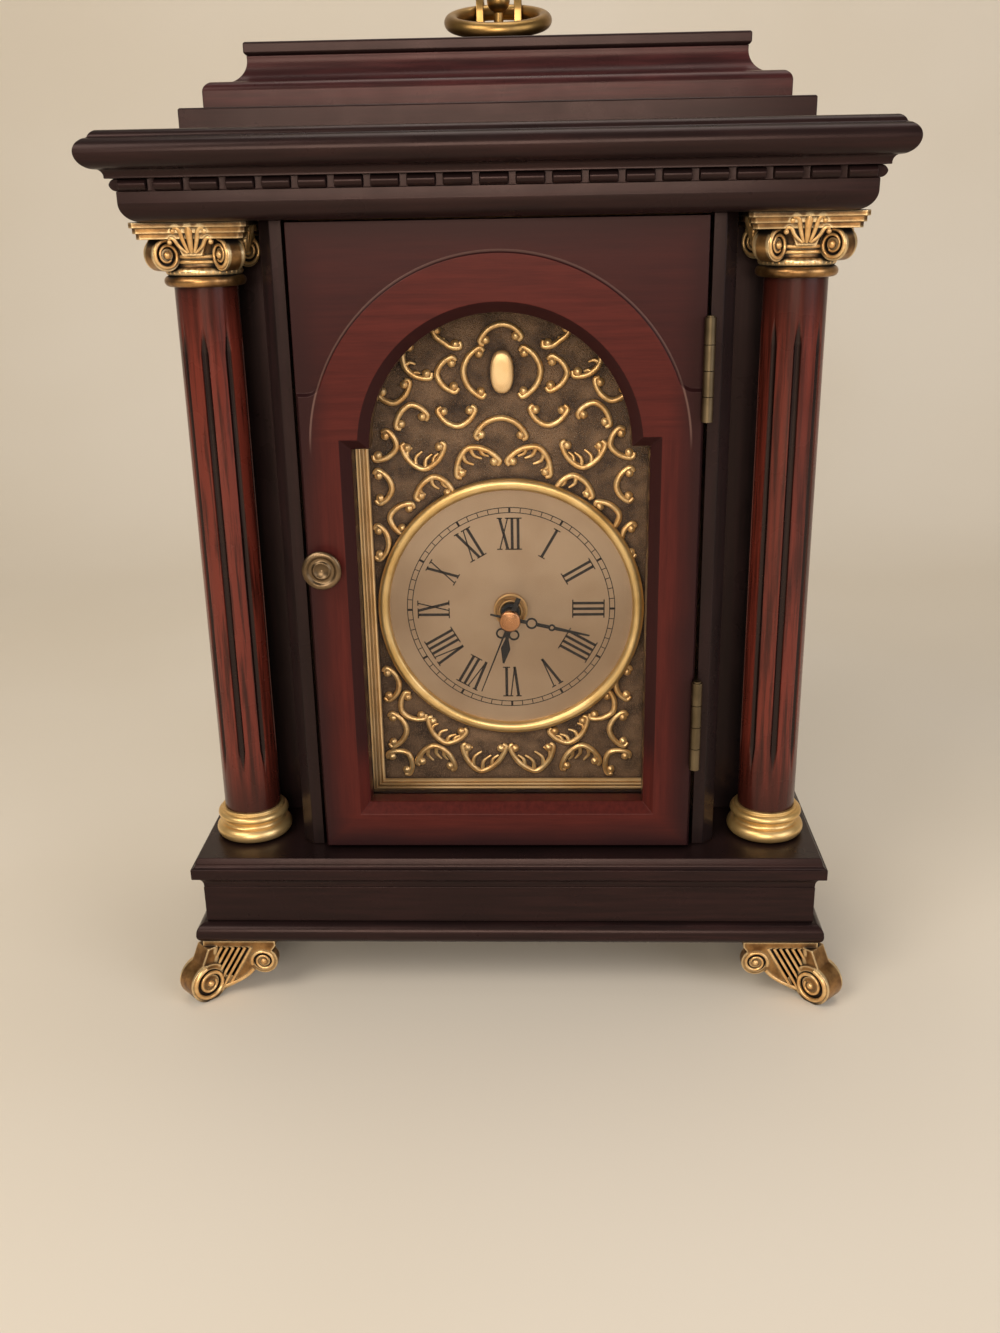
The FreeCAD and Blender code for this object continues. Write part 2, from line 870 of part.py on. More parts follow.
def columns():
    """Two columns: a turned brass base, a fluted shaft and a capital with corner volutes."""
    shaft_low = level_floor + column_base_height
    shaft_high = level_soffit - capital_height
    place = upright(column_x, column_y)
    centre = V(column_x, column_y, 0)
    up = V(0, 0, 1)
    hole = rod(dowel_radius + dowel_fit, centre, V(column_x, column_y, level_top))
    torus_mid = level_floor + base_torus_height / 2.0
    torus_top = level_floor + base_torus_height
    scotia_top = torus_top + base_scotia_height
    ring_top = scotia_top + base_ring_height
    ring_mid = scotia_top + base_ring_height / 2.0
    base = turned(
        place,
        (0, level_floor),
        [
            (base_scotia_radius, level_floor),
            (base_torus_radius, torus_mid, base_scotia_radius, torus_top),
            (base_scotia_radius - base_scotia_in, (torus_top + scotia_top) / 2.0,
             base_scotia_radius, scotia_top),
            (base_ring_radius, ring_mid, base_neck_radius, ring_top),
            (base_neck_radius, shaft_low),
            (0, shaft_low),
        ],
        centre,
        up,
    )
    base = base.cut(hole)
    shaft = rod(shaft_radius, V(column_x, column_y, shaft_low), V(column_x, column_y, shaft_high))
    for index in range(flute_count):
        angle = -math.pi / 2.0 + index * 2 * math.pi / flute_count
        out = shaft_radius + flute_in
        foot = V(column_x + out * math.cos(angle), column_y + out * math.sin(angle), shaft_low + flute_low)
        length = shaft_high - flute_high - foot.z
        middle = rod(flute_radius, foot + V(0, 0, flute_point), foot + V(0, 0, length - flute_point))
        low = Part.makeCone(0, flute_radius, flute_point, foot, up)
        high = Part.makeCone(flute_radius, 0, flute_point, foot + V(0, 0, length - flute_point), up)
        shaft = shaft.cut(joined([middle, low, high]))
    shaft = drilled_for_dowels(shaft, shaft_low, shaft_low + dowel_in_shaft)
    shaft = drilled_for_dowels(shaft, shaft_high - dowel_in_shaft, shaft_high)
    head = capital(shaft_high).cut(hole)
    node["column_base_right"] = base
    node["column_base_left"] = mirrored(base)
    node["column_shaft_right"] = shaft
    node["column_shaft_left"] = mirrored(shaft)
    node["capital_right"] = head
    node["capital_left"] = mirrored(head)
    dowels = []
    for side in (-1, 1):
        for low, high in (
            (level_floor - dowel_in_board, shaft_low + dowel_in_shaft),
            (shaft_high - dowel_in_shaft, level_soffit + dowel_in_board),
        ):
            start = V(side * column_x, column_y, low)
            dowels.append(rod(dowel_radius, start, V(start.x, start.y, high)))
    node["column_dowels"] = Part.makeCompound(dowels)


def capital(low):
    """A capital: an astragal, a band of eggs, a bell, four volutes across the corners, a palmette on
    each face and a hollow-sided abacus of three bands."""
    astragal_mid = low + astragal_height / 2.0
    astragal_top = low + astragal_height
    egg_mid = astragal_top + egg_height / 2.0
    egg_top = astragal_top + egg_height
    abacus_low = level_soffit - abacus_bands * abacus_band
    body = turned(
        upright(column_x, column_y),
        (0, low),
        [
            (neck_radius, low),
            (astragal_radius, astragal_mid, neck_radius, astragal_top),
            (egg_radius, egg_mid, neck_radius, egg_top),
            upright_first(neck_radius, egg_top, bell_radius, abacus_low),
            (0, abacus_low),
        ],
        V(column_x, column_y, 0),
        V(0, 0, 1),
    )
    pieces = [body]
    for band in range(abacus_bands):
        half = abacus_half - abacus_step * (abacus_bands - 1 - band)
        pieces.append(abacus(half, abacus_low + band * abacus_band))
    centre_z = level_soffit - volute_below_top
    for quadrant in range(4):
        turn = math.pi / 4.0 + quadrant * math.pi / 2.0
        outwards = V(math.cos(turn), math.sin(turn), 0)
        across = V(-outwards.y, outwards.x, 0)
        centre = V(column_x, column_y, centre_z) + outwards * volute_out
        half = across * (volute_width / 2.0)
        pieces.append(rod(volute_radius, centre - half, centre + half))
    for quadrant in range(4):
        leaf = palmette(level_soffit - palmette_below_top)
        leaf.rotate(V(0, 0, 0), V(0, 0, 1), 90 * quadrant)
        leaf.translate(V(column_x, column_y, 0))
        pieces.append(leaf)
    shape = joined(pieces)
    for quadrant in range(4):
        turn = math.pi / 4.0 + quadrant * math.pi / 2.0
        outwards = V(math.cos(turn), math.sin(turn), 0)
        across = V(-outwards.y, outwards.x, 0)
        centre = V(column_x, column_y, centre_z) + outwards * volute_out
        for way in (-1, 1):
            face = centre + across * (way * volute_width / 2.0)
            shape = shape.cut(
                tube(volute_groove_out, volute_groove_in, face, face - across * (way * volute_groove_depth))
            )
    beside = column_x + abacus_half + overrun
    return shape.cut(box(0, beside, recess_y, back, low - overrun, level_soffit + overrun))


def abacus(half, low):
    """One band of the abacus: a square with hollow sides and canted corners."""
    cant = half - abacus_cant
    hollow = half - abacus_hollow
    return prism(
        lambda x, y: V(column_x + x, column_y + y, low),
        (cant, -half),
        [
            (half, -cant),
            (hollow, 0, half, cant),
            (cant, half),
            (0, hollow, -cant, half),
            (-half, cant),
            (-hollow, 0, -half, -cant),
            (-cant, -half),
            (0, -hollow, cant, -half),
        ],
        V(0, 0, abacus_band),
    )


def palmette(top):
    """A fan-shaped leaf on the front of a capital's bell."""
    low = top - palmette_height
    foot = palmette_width / 2.0 * palmette_foot_share
    wide = palmette_width / 2.0
    shoulder_z = low + palmette_height * palmette_tip_share
    return prism(
        lambda x, z: V(x, -bell_radius - palmette_thick / 2.0, z),
        (-foot, low),
        [(foot, low), (wide, shoulder_z), (0, top, -wide, shoulder_z)],
        V(0, palmette_thick, 0),
    )


def opening_outline(inset):
    """The door's opening, drawn in by a margin: its first point and its steps."""
    base_z = level_floor
    half = opening_half - inset
    low = base_z + opening_low + inset
    centre = base_z + arch_centre
    ledge = centre + shoulder_up - inset
    radius = arch_radius - inset
    chord = math.sqrt(radius**2 - (ledge - centre) ** 2)
    steps = [
        (half, low),
        (half, ledge),
        (chord, ledge),
        (0, centre + radius, -chord, ledge),
        (-half, ledge),
    ]
    return (-half, low), steps


def band_outline(inset):
    """The raised part of the door's front: a full width below its ledge and an arched band above."""
    base_z = level_floor
    half = door_half - inset
    low = base_z + door_end_gap + inset
    centre = base_z + arch_centre
    ledge = base_z + band_ledge - inset
    radius = band_radius - inset
    fillet = band_fillet + inset
    fillet_z = ledge + fillet
    fillet_x = math.sqrt((radius + fillet) ** 2 - (fillet_z - centre) ** 2)
    share = radius / (radius + fillet)
    meet = (fillet_x * share, centre + (fillet_z - centre) * share)
    toward = math.atan2(meet[1] - fillet_z, meet[0] - fillet_x)
    toward = toward if toward > 0 else toward + 2 * math.pi
    bend = (toward + 1.5 * math.pi) / 2.0
    middle = (fillet_x + fillet * math.cos(bend), fillet_z + fillet * math.sin(bend))
    steps = [
        (half, low),
        (half, ledge),
        (fillet_x, ledge),
        (middle[0], middle[1], meet[0], meet[1]),
        (0, centre + radius, -meet[0], meet[1]),
        (-middle[0], middle[1], -fillet_x, ledge),
        (-half, ledge),
    ]
    return (-half, low), steps


def tapered(outline, y0, inset0, y1, inset1):
    """A solid between two parallel outlines of the same kind."""
    first = wire(lambda x, z: V(x, y0, z), *outline(inset0))
    second = wire(lambda x, z: V(x, y1, z), *outline(inset1))
    return Part.makeLoft([first, second], True, True)


def door():
    """The door frame, its glass, the beads behind the glass, the pull knob and the strike plate."""
    low = level_floor + door_end_gap
    high = level_soffit - door_end_gap
    ground = door_front + spandrel_drop
    rear = door_front + door_wall
    slab = box(-door_half, door_half, ground, rear, low, high)
    raised = tapered(band_outline, ground, 0, door_front, band_edge)
    rebate_y = rear - rebate_depth
    throat = prism(lambda x, z: V(x, door_front, z), *opening_outline(opening_bevel), V(0, door_wall, 0))
    mouth = tapered(opening_outline, door_front, 0, door_front + opening_bevel, opening_bevel)
    rebate = prism(lambda x, z: V(x, rebate_y, z), *opening_outline(0), V(0, rebate_depth, 0))
    frame = slab.fuse(raised)
    frame = frame.cut(throat).cut(mouth).cut(rebate)
    knob_z = level_floor + knob_up
    knob_at = V(knob_x, door_front, knob_z)
    head_y = rear - knob_screw_head_height
    screw_hole = rod(knob_screw_radius, knob_at, V(knob_x, rear, knob_z))
    head_hole = rod(knob_screw_head, V(knob_x, head_y, knob_z), V(knob_x, rear, knob_z))
    node["door_frame"] = frame.cut(screw_hole).cut(head_hole)
    glass = prism(
        lambda x, z: V(x, rebate_y, z), *opening_outline(glass_play), V(0, glass_thick, 0)
    )
    node["door_glass"] = glass
    bead_y = rebate_y + glass_thick
    bead_depth = rebate_depth - glass_thick
    bead = prism(lambda x, z: V(x, bead_y, z), *opening_outline(glass_play), V(0, bead_depth, 0))
    inside = opening_outline(glass_play + retainer_width)
    node["glass_bead"] = bead.cut(prism(lambda x, z: V(x, bead_y, z), *inside, V(0, bead_depth, 0)))
    tip = door_front - knob_length
    rim_back = tip + knob_rim
    step_radius = knob_radius - knob_step_in
    socket = door_front - knob_screw_in_knob
    knob = turned(
        lambda r, y: V(knob_x + r, y, knob_z),
        (knob_screw_radius, door_front),
        [
            (knob_neck, door_front),
            upright_first(knob_neck, door_front, knob_radius, rim_back),
            (knob_radius, tip + knob_rim / 2.0),
            upright_first(knob_radius, tip + knob_rim / 2.0, step_radius, tip),
            (step_radius - knob_rim / 2.0, tip + knob_rim / 2.0),
            (knob_dish_radius + knob_rim / 2.0, tip + knob_rim / 2.0),
            (knob_dish_radius, tip),
            crowned(knob_dish_radius, tip, tip + knob_dish_depth),
            (0, socket),
            (knob_screw_radius, socket),
        ],
        V(knob_x, 0, knob_z),
        V(0, 1, 0),
    )
    node["door_knob"] = knob
    shank = rod(knob_screw_radius, V(knob_x, socket, knob_z), V(knob_x, head_y, knob_z))
    head = rod(knob_screw_head, V(knob_x, head_y, knob_z), V(knob_x, rear, knob_z))
    node["door_knob_screw"] = shank.fuse(head)
    door_catch(rear, knob_z)


def door_catch(rear, knob_z):
    """A steel strike plate behind the knob and the magnet that holds it, on the left stile."""
    strike_left = -door_half + strike_in
    strike_low = knob_z - strike_height / 2.0
    node["strike_plate"] = box(
        strike_left,
        strike_left + strike_width,
        rear,
        rear + strike_thick,
        strike_low,
        strike_low + strike_height,
    )
    magnet_front = rear + strike_thick + magnet_gap
    wall = -(stile_half - stile_width)
    magnet_low = knob_z - magnet_height / 2.0
    node["magnet_catch"] = box(
        wall,
        wall + magnet_width,
        magnet_front,
        magnet_front + magnet_depth,
        magnet_low,
        magnet_low + magnet_height,
    )


def knuckle_spans(low):
    """The lowest and highest point of each knuckle of a hinge, from the bottom up."""
    pitch = hinge_height / hinge_knuckles
    for index in range(hinge_knuckles):
        start = low + index * pitch
        end = start + pitch
        if index < hinge_knuckles - 1:
            end = end - hinge_knuckle_gap
        yield index, start, end


def hinge_leaf_shape(low, side):
    """A hinge's leaf: side 1 is on the stile, side -1 on the door's edge."""
    axis_x = door_half + door_gap / 2.0
    axis_y = door_front - hinge_forward
    if side > 0:
        outer = door_half + door_gap
    else:
        outer = door_half
    inner = outer - side * hinge_leaf
    left = min(outer, inner)
    right = max(outer, inner)
    plate = box(left, right, door_front, door_front + hinge_leaf_width, low, low + hinge_height)
    pieces = [plate]
    for index, start, end in knuckle_spans(low):
        if (index % 2 == 1) == (side > 0):
            pieces.append(box(left, right, axis_y, door_front, start, end))
            pieces.append(rod(hinge_barrel, V(axis_x, axis_y, start), V(axis_x, axis_y, end)))
    shape = joined(pieces)
    bore = rod(hinge_pin + running_fit, V(axis_x, axis_y, low), V(axis_x, axis_y, low + hinge_height))
    return shape.cut(bore)


def hinges():
    """Two butt hinges in the gap at the door's right edge."""
    axis_x = door_half + door_gap / 2.0
    axis_y = door_front - hinge_forward
    pins = []
    for name, rise in (("lower_hinge", hinge_up_low), ("upper_hinge", hinge_up_high)):
        low = level_floor + rise - hinge_height / 2.0
        node[name + "_case_leaf"] = hinge_leaf_shape(low, 1)
        node[name + "_door_leaf"] = hinge_leaf_shape(low, -1)
        top = V(axis_x, axis_y, low + hinge_height)
        pin = rod(hinge_pin, V(axis_x, axis_y, low), top)
        head = rod(hinge_pin_head, top, top + V(0, 0, hinge_pin_head_height))
        pins.append(pin.fuse(head))
    node["door_hinge_pins"] = Part.makeCompound(pins)


def dial():
    """The backboard, the embossed plate, the brass frame round it, the dial and its bezel."""
    dial_z = level_floor + dial_up
    stile_in = stile_half - stile_width
    edge = stile_in - seat_gap
    board_back = recess_y + backboard_wall
    centre = V(dial_x, 0, dial_z)
    through = rod(dial_hole, centre + V(0, front, 0), centre + V(0, back, 0))
    board = box(-edge, edge, recess_y, board_back, level_floor, level_soffit)
    node["dial_backboard"] = board.cut(through)
    plate_y = recess_y - plate_thick
    arch_z = level_floor + arch_centre
    plate_low_z = level_floor + plate_low
    plate = prism(
        lambda x, z: V(dial_x + x, plate_y, z),
        (-plate_half, plate_low_z),
        [
            (plate_half, plate_low_z),
            (plate_half, arch_z),
            (0, arch_z + plate_half, -plate_half, arch_z),
        ],
        V(0, plate_thick, 0),
    )
    boss_z = level_floor + boss_up
    boss = prism(
        lambda x, z: V(x, plate_y - boss_rise, z),
        (boss_width / 2.0, boss_z - (boss_height - boss_width) / 2.0),
        [
            (boss_width / 2.0, boss_z + (boss_height - boss_width) / 2.0),
            (0, boss_z + boss_height / 2.0, -boss_width / 2.0, boss_z + (boss_height - boss_width) / 2.0),
            (-boss_width / 2.0, boss_z - (boss_height - boss_width) / 2.0),
            (0, boss_z - boss_height / 2.0, boss_width / 2.0, boss_z - (boss_height - boss_width) / 2.0),
        ],
        V(0, boss_rise, 0),
    )
    node["ornament_plate"] = joined([plate, boss]).cut(through)
    node["dial_frame"] = dial_frame(plate_y)
    bezel_y = plate_y
    dial_front = plate_y - dial_thick
    crest = (bezel_radius + bezel_inner) / 2.0
    bezel = turned(
        lambda r, y: V(dial_x + r, y, dial_z),
        (bezel_inner, dial_front),
        [
            (dial_radius + dowel_fit, dial_front),
            (dial_radius + dowel_fit, bezel_y),
            (bezel_radius, bezel_y),
            (bezel_radius, bezel_y - bezel_height / 2.0),
            upright_first(bezel_radius, bezel_y - bezel_height / 2.0, crest, bezel_y - bezel_height),
            flat_first(crest, bezel_y - bezel_height, bezel_inner, dial_front - dial_thick),
        ],
        centre,
        V(0, 1, 0),
    )
    node["dial_bezel"] = bezel
    disc = rod(dial_radius, centre + V(0, dial_front, 0), centre + V(0, plate_y, 0))
    node["dial_disc"] = disc.cut(through)
    movement(centre, board_back, dial_front)


def dial_frame(plate_y):
    """The brass moulding down both sides and along the bottom of the plate, mitred at its corners."""
    low = level_floor + frame_low
    outer = frame_inner_half + frame_width
    bottom = low - frame_width
    top = level_floor + frame_top
    flat = frame_width - frame_slope
    rise = plate_y - frame_thick
    high = rise - frame_slope / 2.0
    place = lambda x, y: V(dial_x + x, y, bottom)
    side = prism(
        place,
        (frame_inner_half, plate_y),
        [(frame_inner_half, rise), (frame_inner_half + flat, rise), (outer, high), (outer, plate_y)],
        V(0, 0, top - bottom),
    )
    run = prism(
        lambda z, y: V(dial_x - outer, y, z),
        (low, plate_y),
        [(low, rise), (low - flat, rise), (bottom, high), (bottom, plate_y)],
        V(2 * outer, 0, 0),
    )
    far = top - bottom + outer
    upper = prism(
        lambda x, z: V(dial_x + x, plate_y - far, z),
        (outer, bottom),
        [
            (outer + far, bottom),
            (outer + far, top + far),
            (frame_inner_half, top + far),
            (frame_inner_half, low),
        ],
        V(0, 2 * far, 0),
    )
    lower = prism(
        lambda x, z: V(dial_x + x, plate_y - far, z),
        (outer, bottom),
        [(frame_inner_half, low), (-frame_inner_half, low), (-outer, bottom)],
        V(0, 2 * far, 0),
    )
    right = side.common(upper)
    centre = V(dial_x, 0, 0)
    left = right.mirror(centre, V(1, 0, 0))
    return joined([right, left, run.common(lower)])


def movement(centre, board_back, dial_front):
    """The quartz movement behind the backboard, its nut, battery, set knob and three hands."""
    half_width = movement_width / 2.0
    top = centre.z + movement_height * (1 - movement_up_share)
    low = top - movement_height
    rear = board_back + movement_depth
    case = box(centre.x - half_width, centre.x + half_width, board_back, rear, low, top)
    uprights = [edge for edge in case.Edges if edge.BoundBox.YLength > movement_depth / 2.0]
    case = case.makeFillet(movement_corner, uprights)
    bush_end = centre + V(0, board_back - bush_length, 0)
    case = case.fuse(rod(bush_radius, centre + V(0, board_back, 0), bush_end))
    case = case.cut(rod(bush_bore, bush_end, centre + V(0, board_back + bore_depth, 0)))
    bay_z = low + battery_up
    bay = battery_radius + battery_play
    bay_half = battery_length / 2.0 + battery_nub_length + battery_play
    cell_y = rear - bay
    well = box(centre.x - bay_half, centre.x + bay_half, cell_y - bay, rear, bay_z - bay, bay_z + bay)
    case = case.cut(well)
    knob_z = centre.z
    shaft_in = V(centre.x, rear - knob_set_in, knob_z)
    case = case.cut(rod(knob_set_shaft + running_fit, shaft_in, V(centre.x, rear, knob_z)))
    node["movement_case"] = case
    cell_start = V(centre.x - battery_length / 2.0, cell_y, bay_z)
    cell_end = cell_start + V(battery_length, 0, 0)
    cell = rod(battery_radius, cell_start, cell_end)
    node["battery"] = cell.fuse(rod(battery_nub, cell_end, cell_end + V(battery_nub_length, 0, 0)))
    knob_front = rear + seat_gap
    knob_rear = knob_front + knob_set_length
    knob = rod(knob_set_radius, V(centre.x, knob_front, knob_z), V(centre.x, knob_rear, knob_z))
    for index in range(knob_set_teeth):
        angle = index * 2 * math.pi / knob_set_teeth
        x = centre.x + knob_set_radius * math.cos(angle)
        z = knob_z + knob_set_radius * math.sin(angle)
        knob = knob.cut(rod(knob_set_tooth, V(x, knob_front, z), V(x, knob_rear, z)))
    node["set_knob"] = knob.fuse(rod(knob_set_shaft, shaft_in, V(centre.x, knob_front, knob_z)))
    nut_back = centre + V(0, dial_front, 0)
    nut_front = nut_back - V(0, nut_height, 0)
    nut = rod(nut_radius, nut_back, nut_front)
    turns = [math.pi * k / 3 for k in range(7)]
    hexagon = [nut_front + V(nut_hex * math.cos(turn), 0, nut_hex * math.sin(turn)) for turn in turns]
    nut = nut.fuse(Part.Face(Part.makePolygon(hexagon)).extrude(V(0, -nut_hex_height, 0)))
    node["dial_nut"] = nut.cut(rod(bush_radius + dowel_fit, centre + V(0, front, 0), centre))
    hands(centre, board_back + bore_depth, dial_front)


def ring_plate(out, side, radius):
    """A flat ring of a hand, along the hand and to one side of it."""
    start = V(side, 0, out)
    return tube(radius, radius - ring_band, start, start - V(0, hand_thick, 0))


def arm(points):
    """A flat piece of a hand from points to the side and along it."""
    return prism(lambda x, z: V(x, 0, z), points[0], points[1:], V(0, -hand_thick, 0))


def pointed_arm(start, end, half, tip_half):
    """A flat tapering arm."""
    return arm([(-half, start), (half, start), (tip_half, end), (-tip_half, end)])


def hands(centre, bore_end, dial_front):
    """Three hands on their tubes, one inside another, each turned to the time in the picture."""
    hour_y = dial_front - hour_forward
    minute_y = dial_front - minute_forward
    second_y = dial_front - second_forward
    hour_tube = bush_bore - running_fit
    hour_bore = hour_tube - tube_wall
    minute_tube = hour_bore - running_fit
    minute_bore = minute_tube - pinion_wall
    second_pin = minute_bore - running_fit
    hub = V(0, -hub_height, 0)
    ring_inner = hour_ring - ring_band / 2.0
    spear_wide = hour_spear_start + hour_spear_half * 2
    spear_root = hour_ring_out - hour_ring
    spear = [
        (-hour_arm_half, spear_root),
        (hour_arm_half, spear_root),
        (hour_arm_half, hour_spear_start),
        (hour_spear_half, spear_wide),
        (minute_tip_half, hour_length),
        (-minute_tip_half, hour_length),
        (-hour_spear_half, spear_wide),
        (-hour_arm_half, hour_spear_start),
    ]
    hour = [
        rod(hub_radius, V(0, 0, 0), hub),
        pointed_arm(0, hour_ring_out - ring_inner, hour_arm_half * 2, hour_arm_half),
        ring_plate(hour_ring_out, hour_ring_side, hour_ring),
        ring_plate(hour_ring_out, -hour_ring_side, hour_ring),
        arm(spear),
    ]
    turn_hand("hour_hand", hour, hour_angle, centre, hour_y, hour_tube, hour_bore, bore_end)
    small_inner = minute_small_out - minute_small + ring_band / 2.0
    small_outer = minute_small_out + minute_small - ring_band / 2.0
    large_outer = minute_ring_out + minute_ring - ring_band / 2.0
    minute = [
        rod(hub_radius - running_fit, V(0, 0, 0), hub),
        pointed_arm(0, minute_ring_out - minute_ring + ring_band / 2.0, minute_arm_half, minute_arm_half),
        pointed_arm(-minute_tail, 0, minute_tip_half, minute_arm_half),
        ring_plate(minute_ring_out, 0, minute_ring),
        pointed_arm(large_outer, small_inner, minute_arm_half, minute_arm_half),
        ring_plate(minute_small_out, 0, minute_small),
        pointed_arm(small_outer, minute_length, minute_arm_half, minute_tip_half),
    ]
    turn_hand("minute_hand", minute, minute_angle, centre, minute_y, minute_tube, minute_bore, bore_end)
    cone = Part.makeCone(cap_radius, 0, cap_cone, V(0, -hand_thick - hub_height / 2.0, 0), V(0, -1, 0))
    second = [
        rod(cap_radius, V(0, 0, 0), V(0, -hand_thick - hub_height / 2.0, 0)),
        cone,
        pointed_arm(0, second_length, second_arm_half, second_tip_half),
        pointed_arm(-second_tail, 0, second_tail_half, second_tail_half),
    ]
    turn_hand("second_hand", second, second_angle, centre, second_y, second_pin, 0, bore_end)


def turn_hand(name, pieces, angle, centre, y, outer, bore, inner_end):
    """A hand turned to its hour, with the tube or pin that drives it."""
    flat = joined(pieces)
    flat.rotate(V(0, 0, 0), V(0, 1, 0), angle)
    flat.translate(centre + V(0, y, 0))
    start = centre + V(0, y, 0)
    end = centre + V(0, inner_end - seat_gap, 0)
    shape = flat.fuse(rod(outer, start, end))
    if bore > 0:
        shape = shape.cut(rod(bore, start - V(0, hub_height + overrun, 0), end))
    node[name] = shape


def handle():
    """The post on the cap, with two pierced ears and a ball finial, and the ring that swings in it."""
    pivot = V(0, handle_y, level_top + handle_pivot_up)
    foot = V(0, handle_y, level_top)
    flange_top = foot + V(0, 0, post_flange_height)
    saddle_top = level_top + post_flange_height + post_saddle_height
    outer = ear_in + ear_thick
    flange = rod(post_flange, foot, flange_top)
    stud = rod(post_stud, foot - V(0, 0, post_stud_length), foot)
    saddle_front = handle_y - post_saddle_depth
    saddle_back = handle_y + post_saddle_depth
    saddle = box(-outer, outer, saddle_front, saddle_back, flange_top.z, saddle_top)
    lean = ear_radius * math.sqrt(0.5)
    tip_z = pivot.z + ear_tip
    ear_outline = [
        (handle_y + post_saddle_depth, saddle_top),
        (handle_y + ear_radius, pivot.z),
        (handle_y + lean, pivot.z + lean),
        (handle_y, tip_z),
        (handle_y - lean, pivot.z + lean),
        (handle_y - ear_radius, pivot.z),
    ]
    ear = prism(
        lambda y, z: V(ear_in, y, z),
        (handle_y - post_saddle_depth, saddle_top),
        ear_outline,
        V(ear_thick, 0, 0),
    )
    ear = ear.cut(rod(ear_hole, pivot, pivot + V(outer, 0, 0)))
    ball_at = pivot + V(0, -ball_forward, ball_up)
    stem_foot = V(0, ball_at.y + ball_stem_back, flange_top.z)
    stem = rod(ball_stem, stem_foot, ball_at)
    ball = Part.makeSphere(ball_radius, ball_at)
    node["handle_post"] = joined([flange, stud, saddle, ear, mirrored(ear), stem, ball])
    ear_middle = ear_in + ear_thick / 2.0
    pivot_out = math.sqrt(ring_radius**2 - ear_middle**2)
    reach = pivot_out + ring_radius
    tilt = math.asin((handle_pivot_up - ring_tube - seat_gap) / reach)
    away = V(0, -math.cos(tilt), -math.sin(tilt))
    normal = V(0, -math.sin(tilt), math.cos(tilt))
    node["ring_handle"] = Part.makeTorus(ring_radius, ring_tube, pivot + away * pivot_out, normal)
    print("ring handle rests at", round(math.degrees(tilt), 2), "degrees")


def main():
    """Builds every piece and writes each to a file of its own."""
    base_boards()
    feet()
    case_walls()
    cornice()
    columns()
    door()
    hinges()
    dial()
    handle()
    os.makedirs("parts", exist_ok=True)
    for name, shape in sorted(node.items()):
        shape.exportStep("parts/" + name + ".step")
        if not shape.isValid() or len(shape.Solids) == 0:
            print("check", name, shape.isValid(), len(shape.Solids))
    print(len(node), "nodes, top of the cap at", level_top, "hinge axis", door_half + door_gap / 2.0)


main()
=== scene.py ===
"""Looks of an architectural mantel clock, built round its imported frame.

Sizes in the classes are millimetres, and every mesh is written in metres. X runs to the right as the
clock is faced, Y from front to back, Z up. WELD is how close two points are one, and SMOOTH the largest
angle in degrees that most pieces are shaded smooth over.
"""

from __future__ import annotations

import json
import logging
import math
from dataclasses import dataclass
from enum import Enum
from typing import Any, Iterable, Sequence

import bmesh
import bpy
from mathutils import Matrix, Vector
from mathutils.bvhtree import BVHTree

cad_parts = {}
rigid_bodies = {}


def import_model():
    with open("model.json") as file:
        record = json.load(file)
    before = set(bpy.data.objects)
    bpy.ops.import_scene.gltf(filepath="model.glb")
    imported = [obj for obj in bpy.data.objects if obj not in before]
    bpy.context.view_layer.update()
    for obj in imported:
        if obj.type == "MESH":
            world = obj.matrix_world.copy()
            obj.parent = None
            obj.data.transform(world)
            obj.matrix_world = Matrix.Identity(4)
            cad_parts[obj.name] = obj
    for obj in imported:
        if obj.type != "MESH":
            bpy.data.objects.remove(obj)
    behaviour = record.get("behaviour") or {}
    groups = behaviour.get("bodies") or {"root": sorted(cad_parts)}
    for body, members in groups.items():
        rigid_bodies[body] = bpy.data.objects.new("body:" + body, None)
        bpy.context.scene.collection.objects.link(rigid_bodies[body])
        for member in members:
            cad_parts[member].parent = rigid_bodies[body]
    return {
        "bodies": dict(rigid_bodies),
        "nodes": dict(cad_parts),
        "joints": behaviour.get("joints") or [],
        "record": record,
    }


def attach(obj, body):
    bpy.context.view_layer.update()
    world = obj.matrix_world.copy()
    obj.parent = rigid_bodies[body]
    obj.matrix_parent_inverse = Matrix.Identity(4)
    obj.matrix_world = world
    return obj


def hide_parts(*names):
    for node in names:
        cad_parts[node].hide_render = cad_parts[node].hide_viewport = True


LOG = logging.getLogger("mantel_clock")
MM = 0.001
WELD = 1e-6
SMOOTH = 60.0
RIGHT = Vector((1, 0, 0))
BACK = Vector((0, 1, 0))
UP = Vector((0, 0, 1))

Flat = tuple[float, float]
Colour = tuple[float, float, float, float]
Socket = bpy.types.NodeSocket


def linear(code: str) -> Colour:
    """Turns a written colour into the values that a shader takes.

    Args:
        code: The colour as six hexadecimal digits after a hash.

    Returns:
        Red, green, blue and an alpha of one.
    """
    parts = [int(code[i : i + 2], 16) / 255.0 for i in (1, 3, 5)]
    low, slope, offset, power = 0.04045, 12.92, 0.055, 2.4
    made = [p / slope if p <= low else ((p + offset) / (1 + offset)) ** power for p in parts]
    return (made[0], made[1], made[2], 1.0)


@dataclass(frozen=True)
class Noise:
    """A soft random pattern.

    Attributes:
        pitch: How fine it is, per metre.
        detail: How many finer patterns lie on it.
        rough: How strong those are.
        low: The value that counts as nought where it is spread.
        high: The value that counts as one there.
    """

    pitch: float
    detail: float = 3.0
    rough: float = 0.5
    low: float = 0.3
    high: float = 0.7


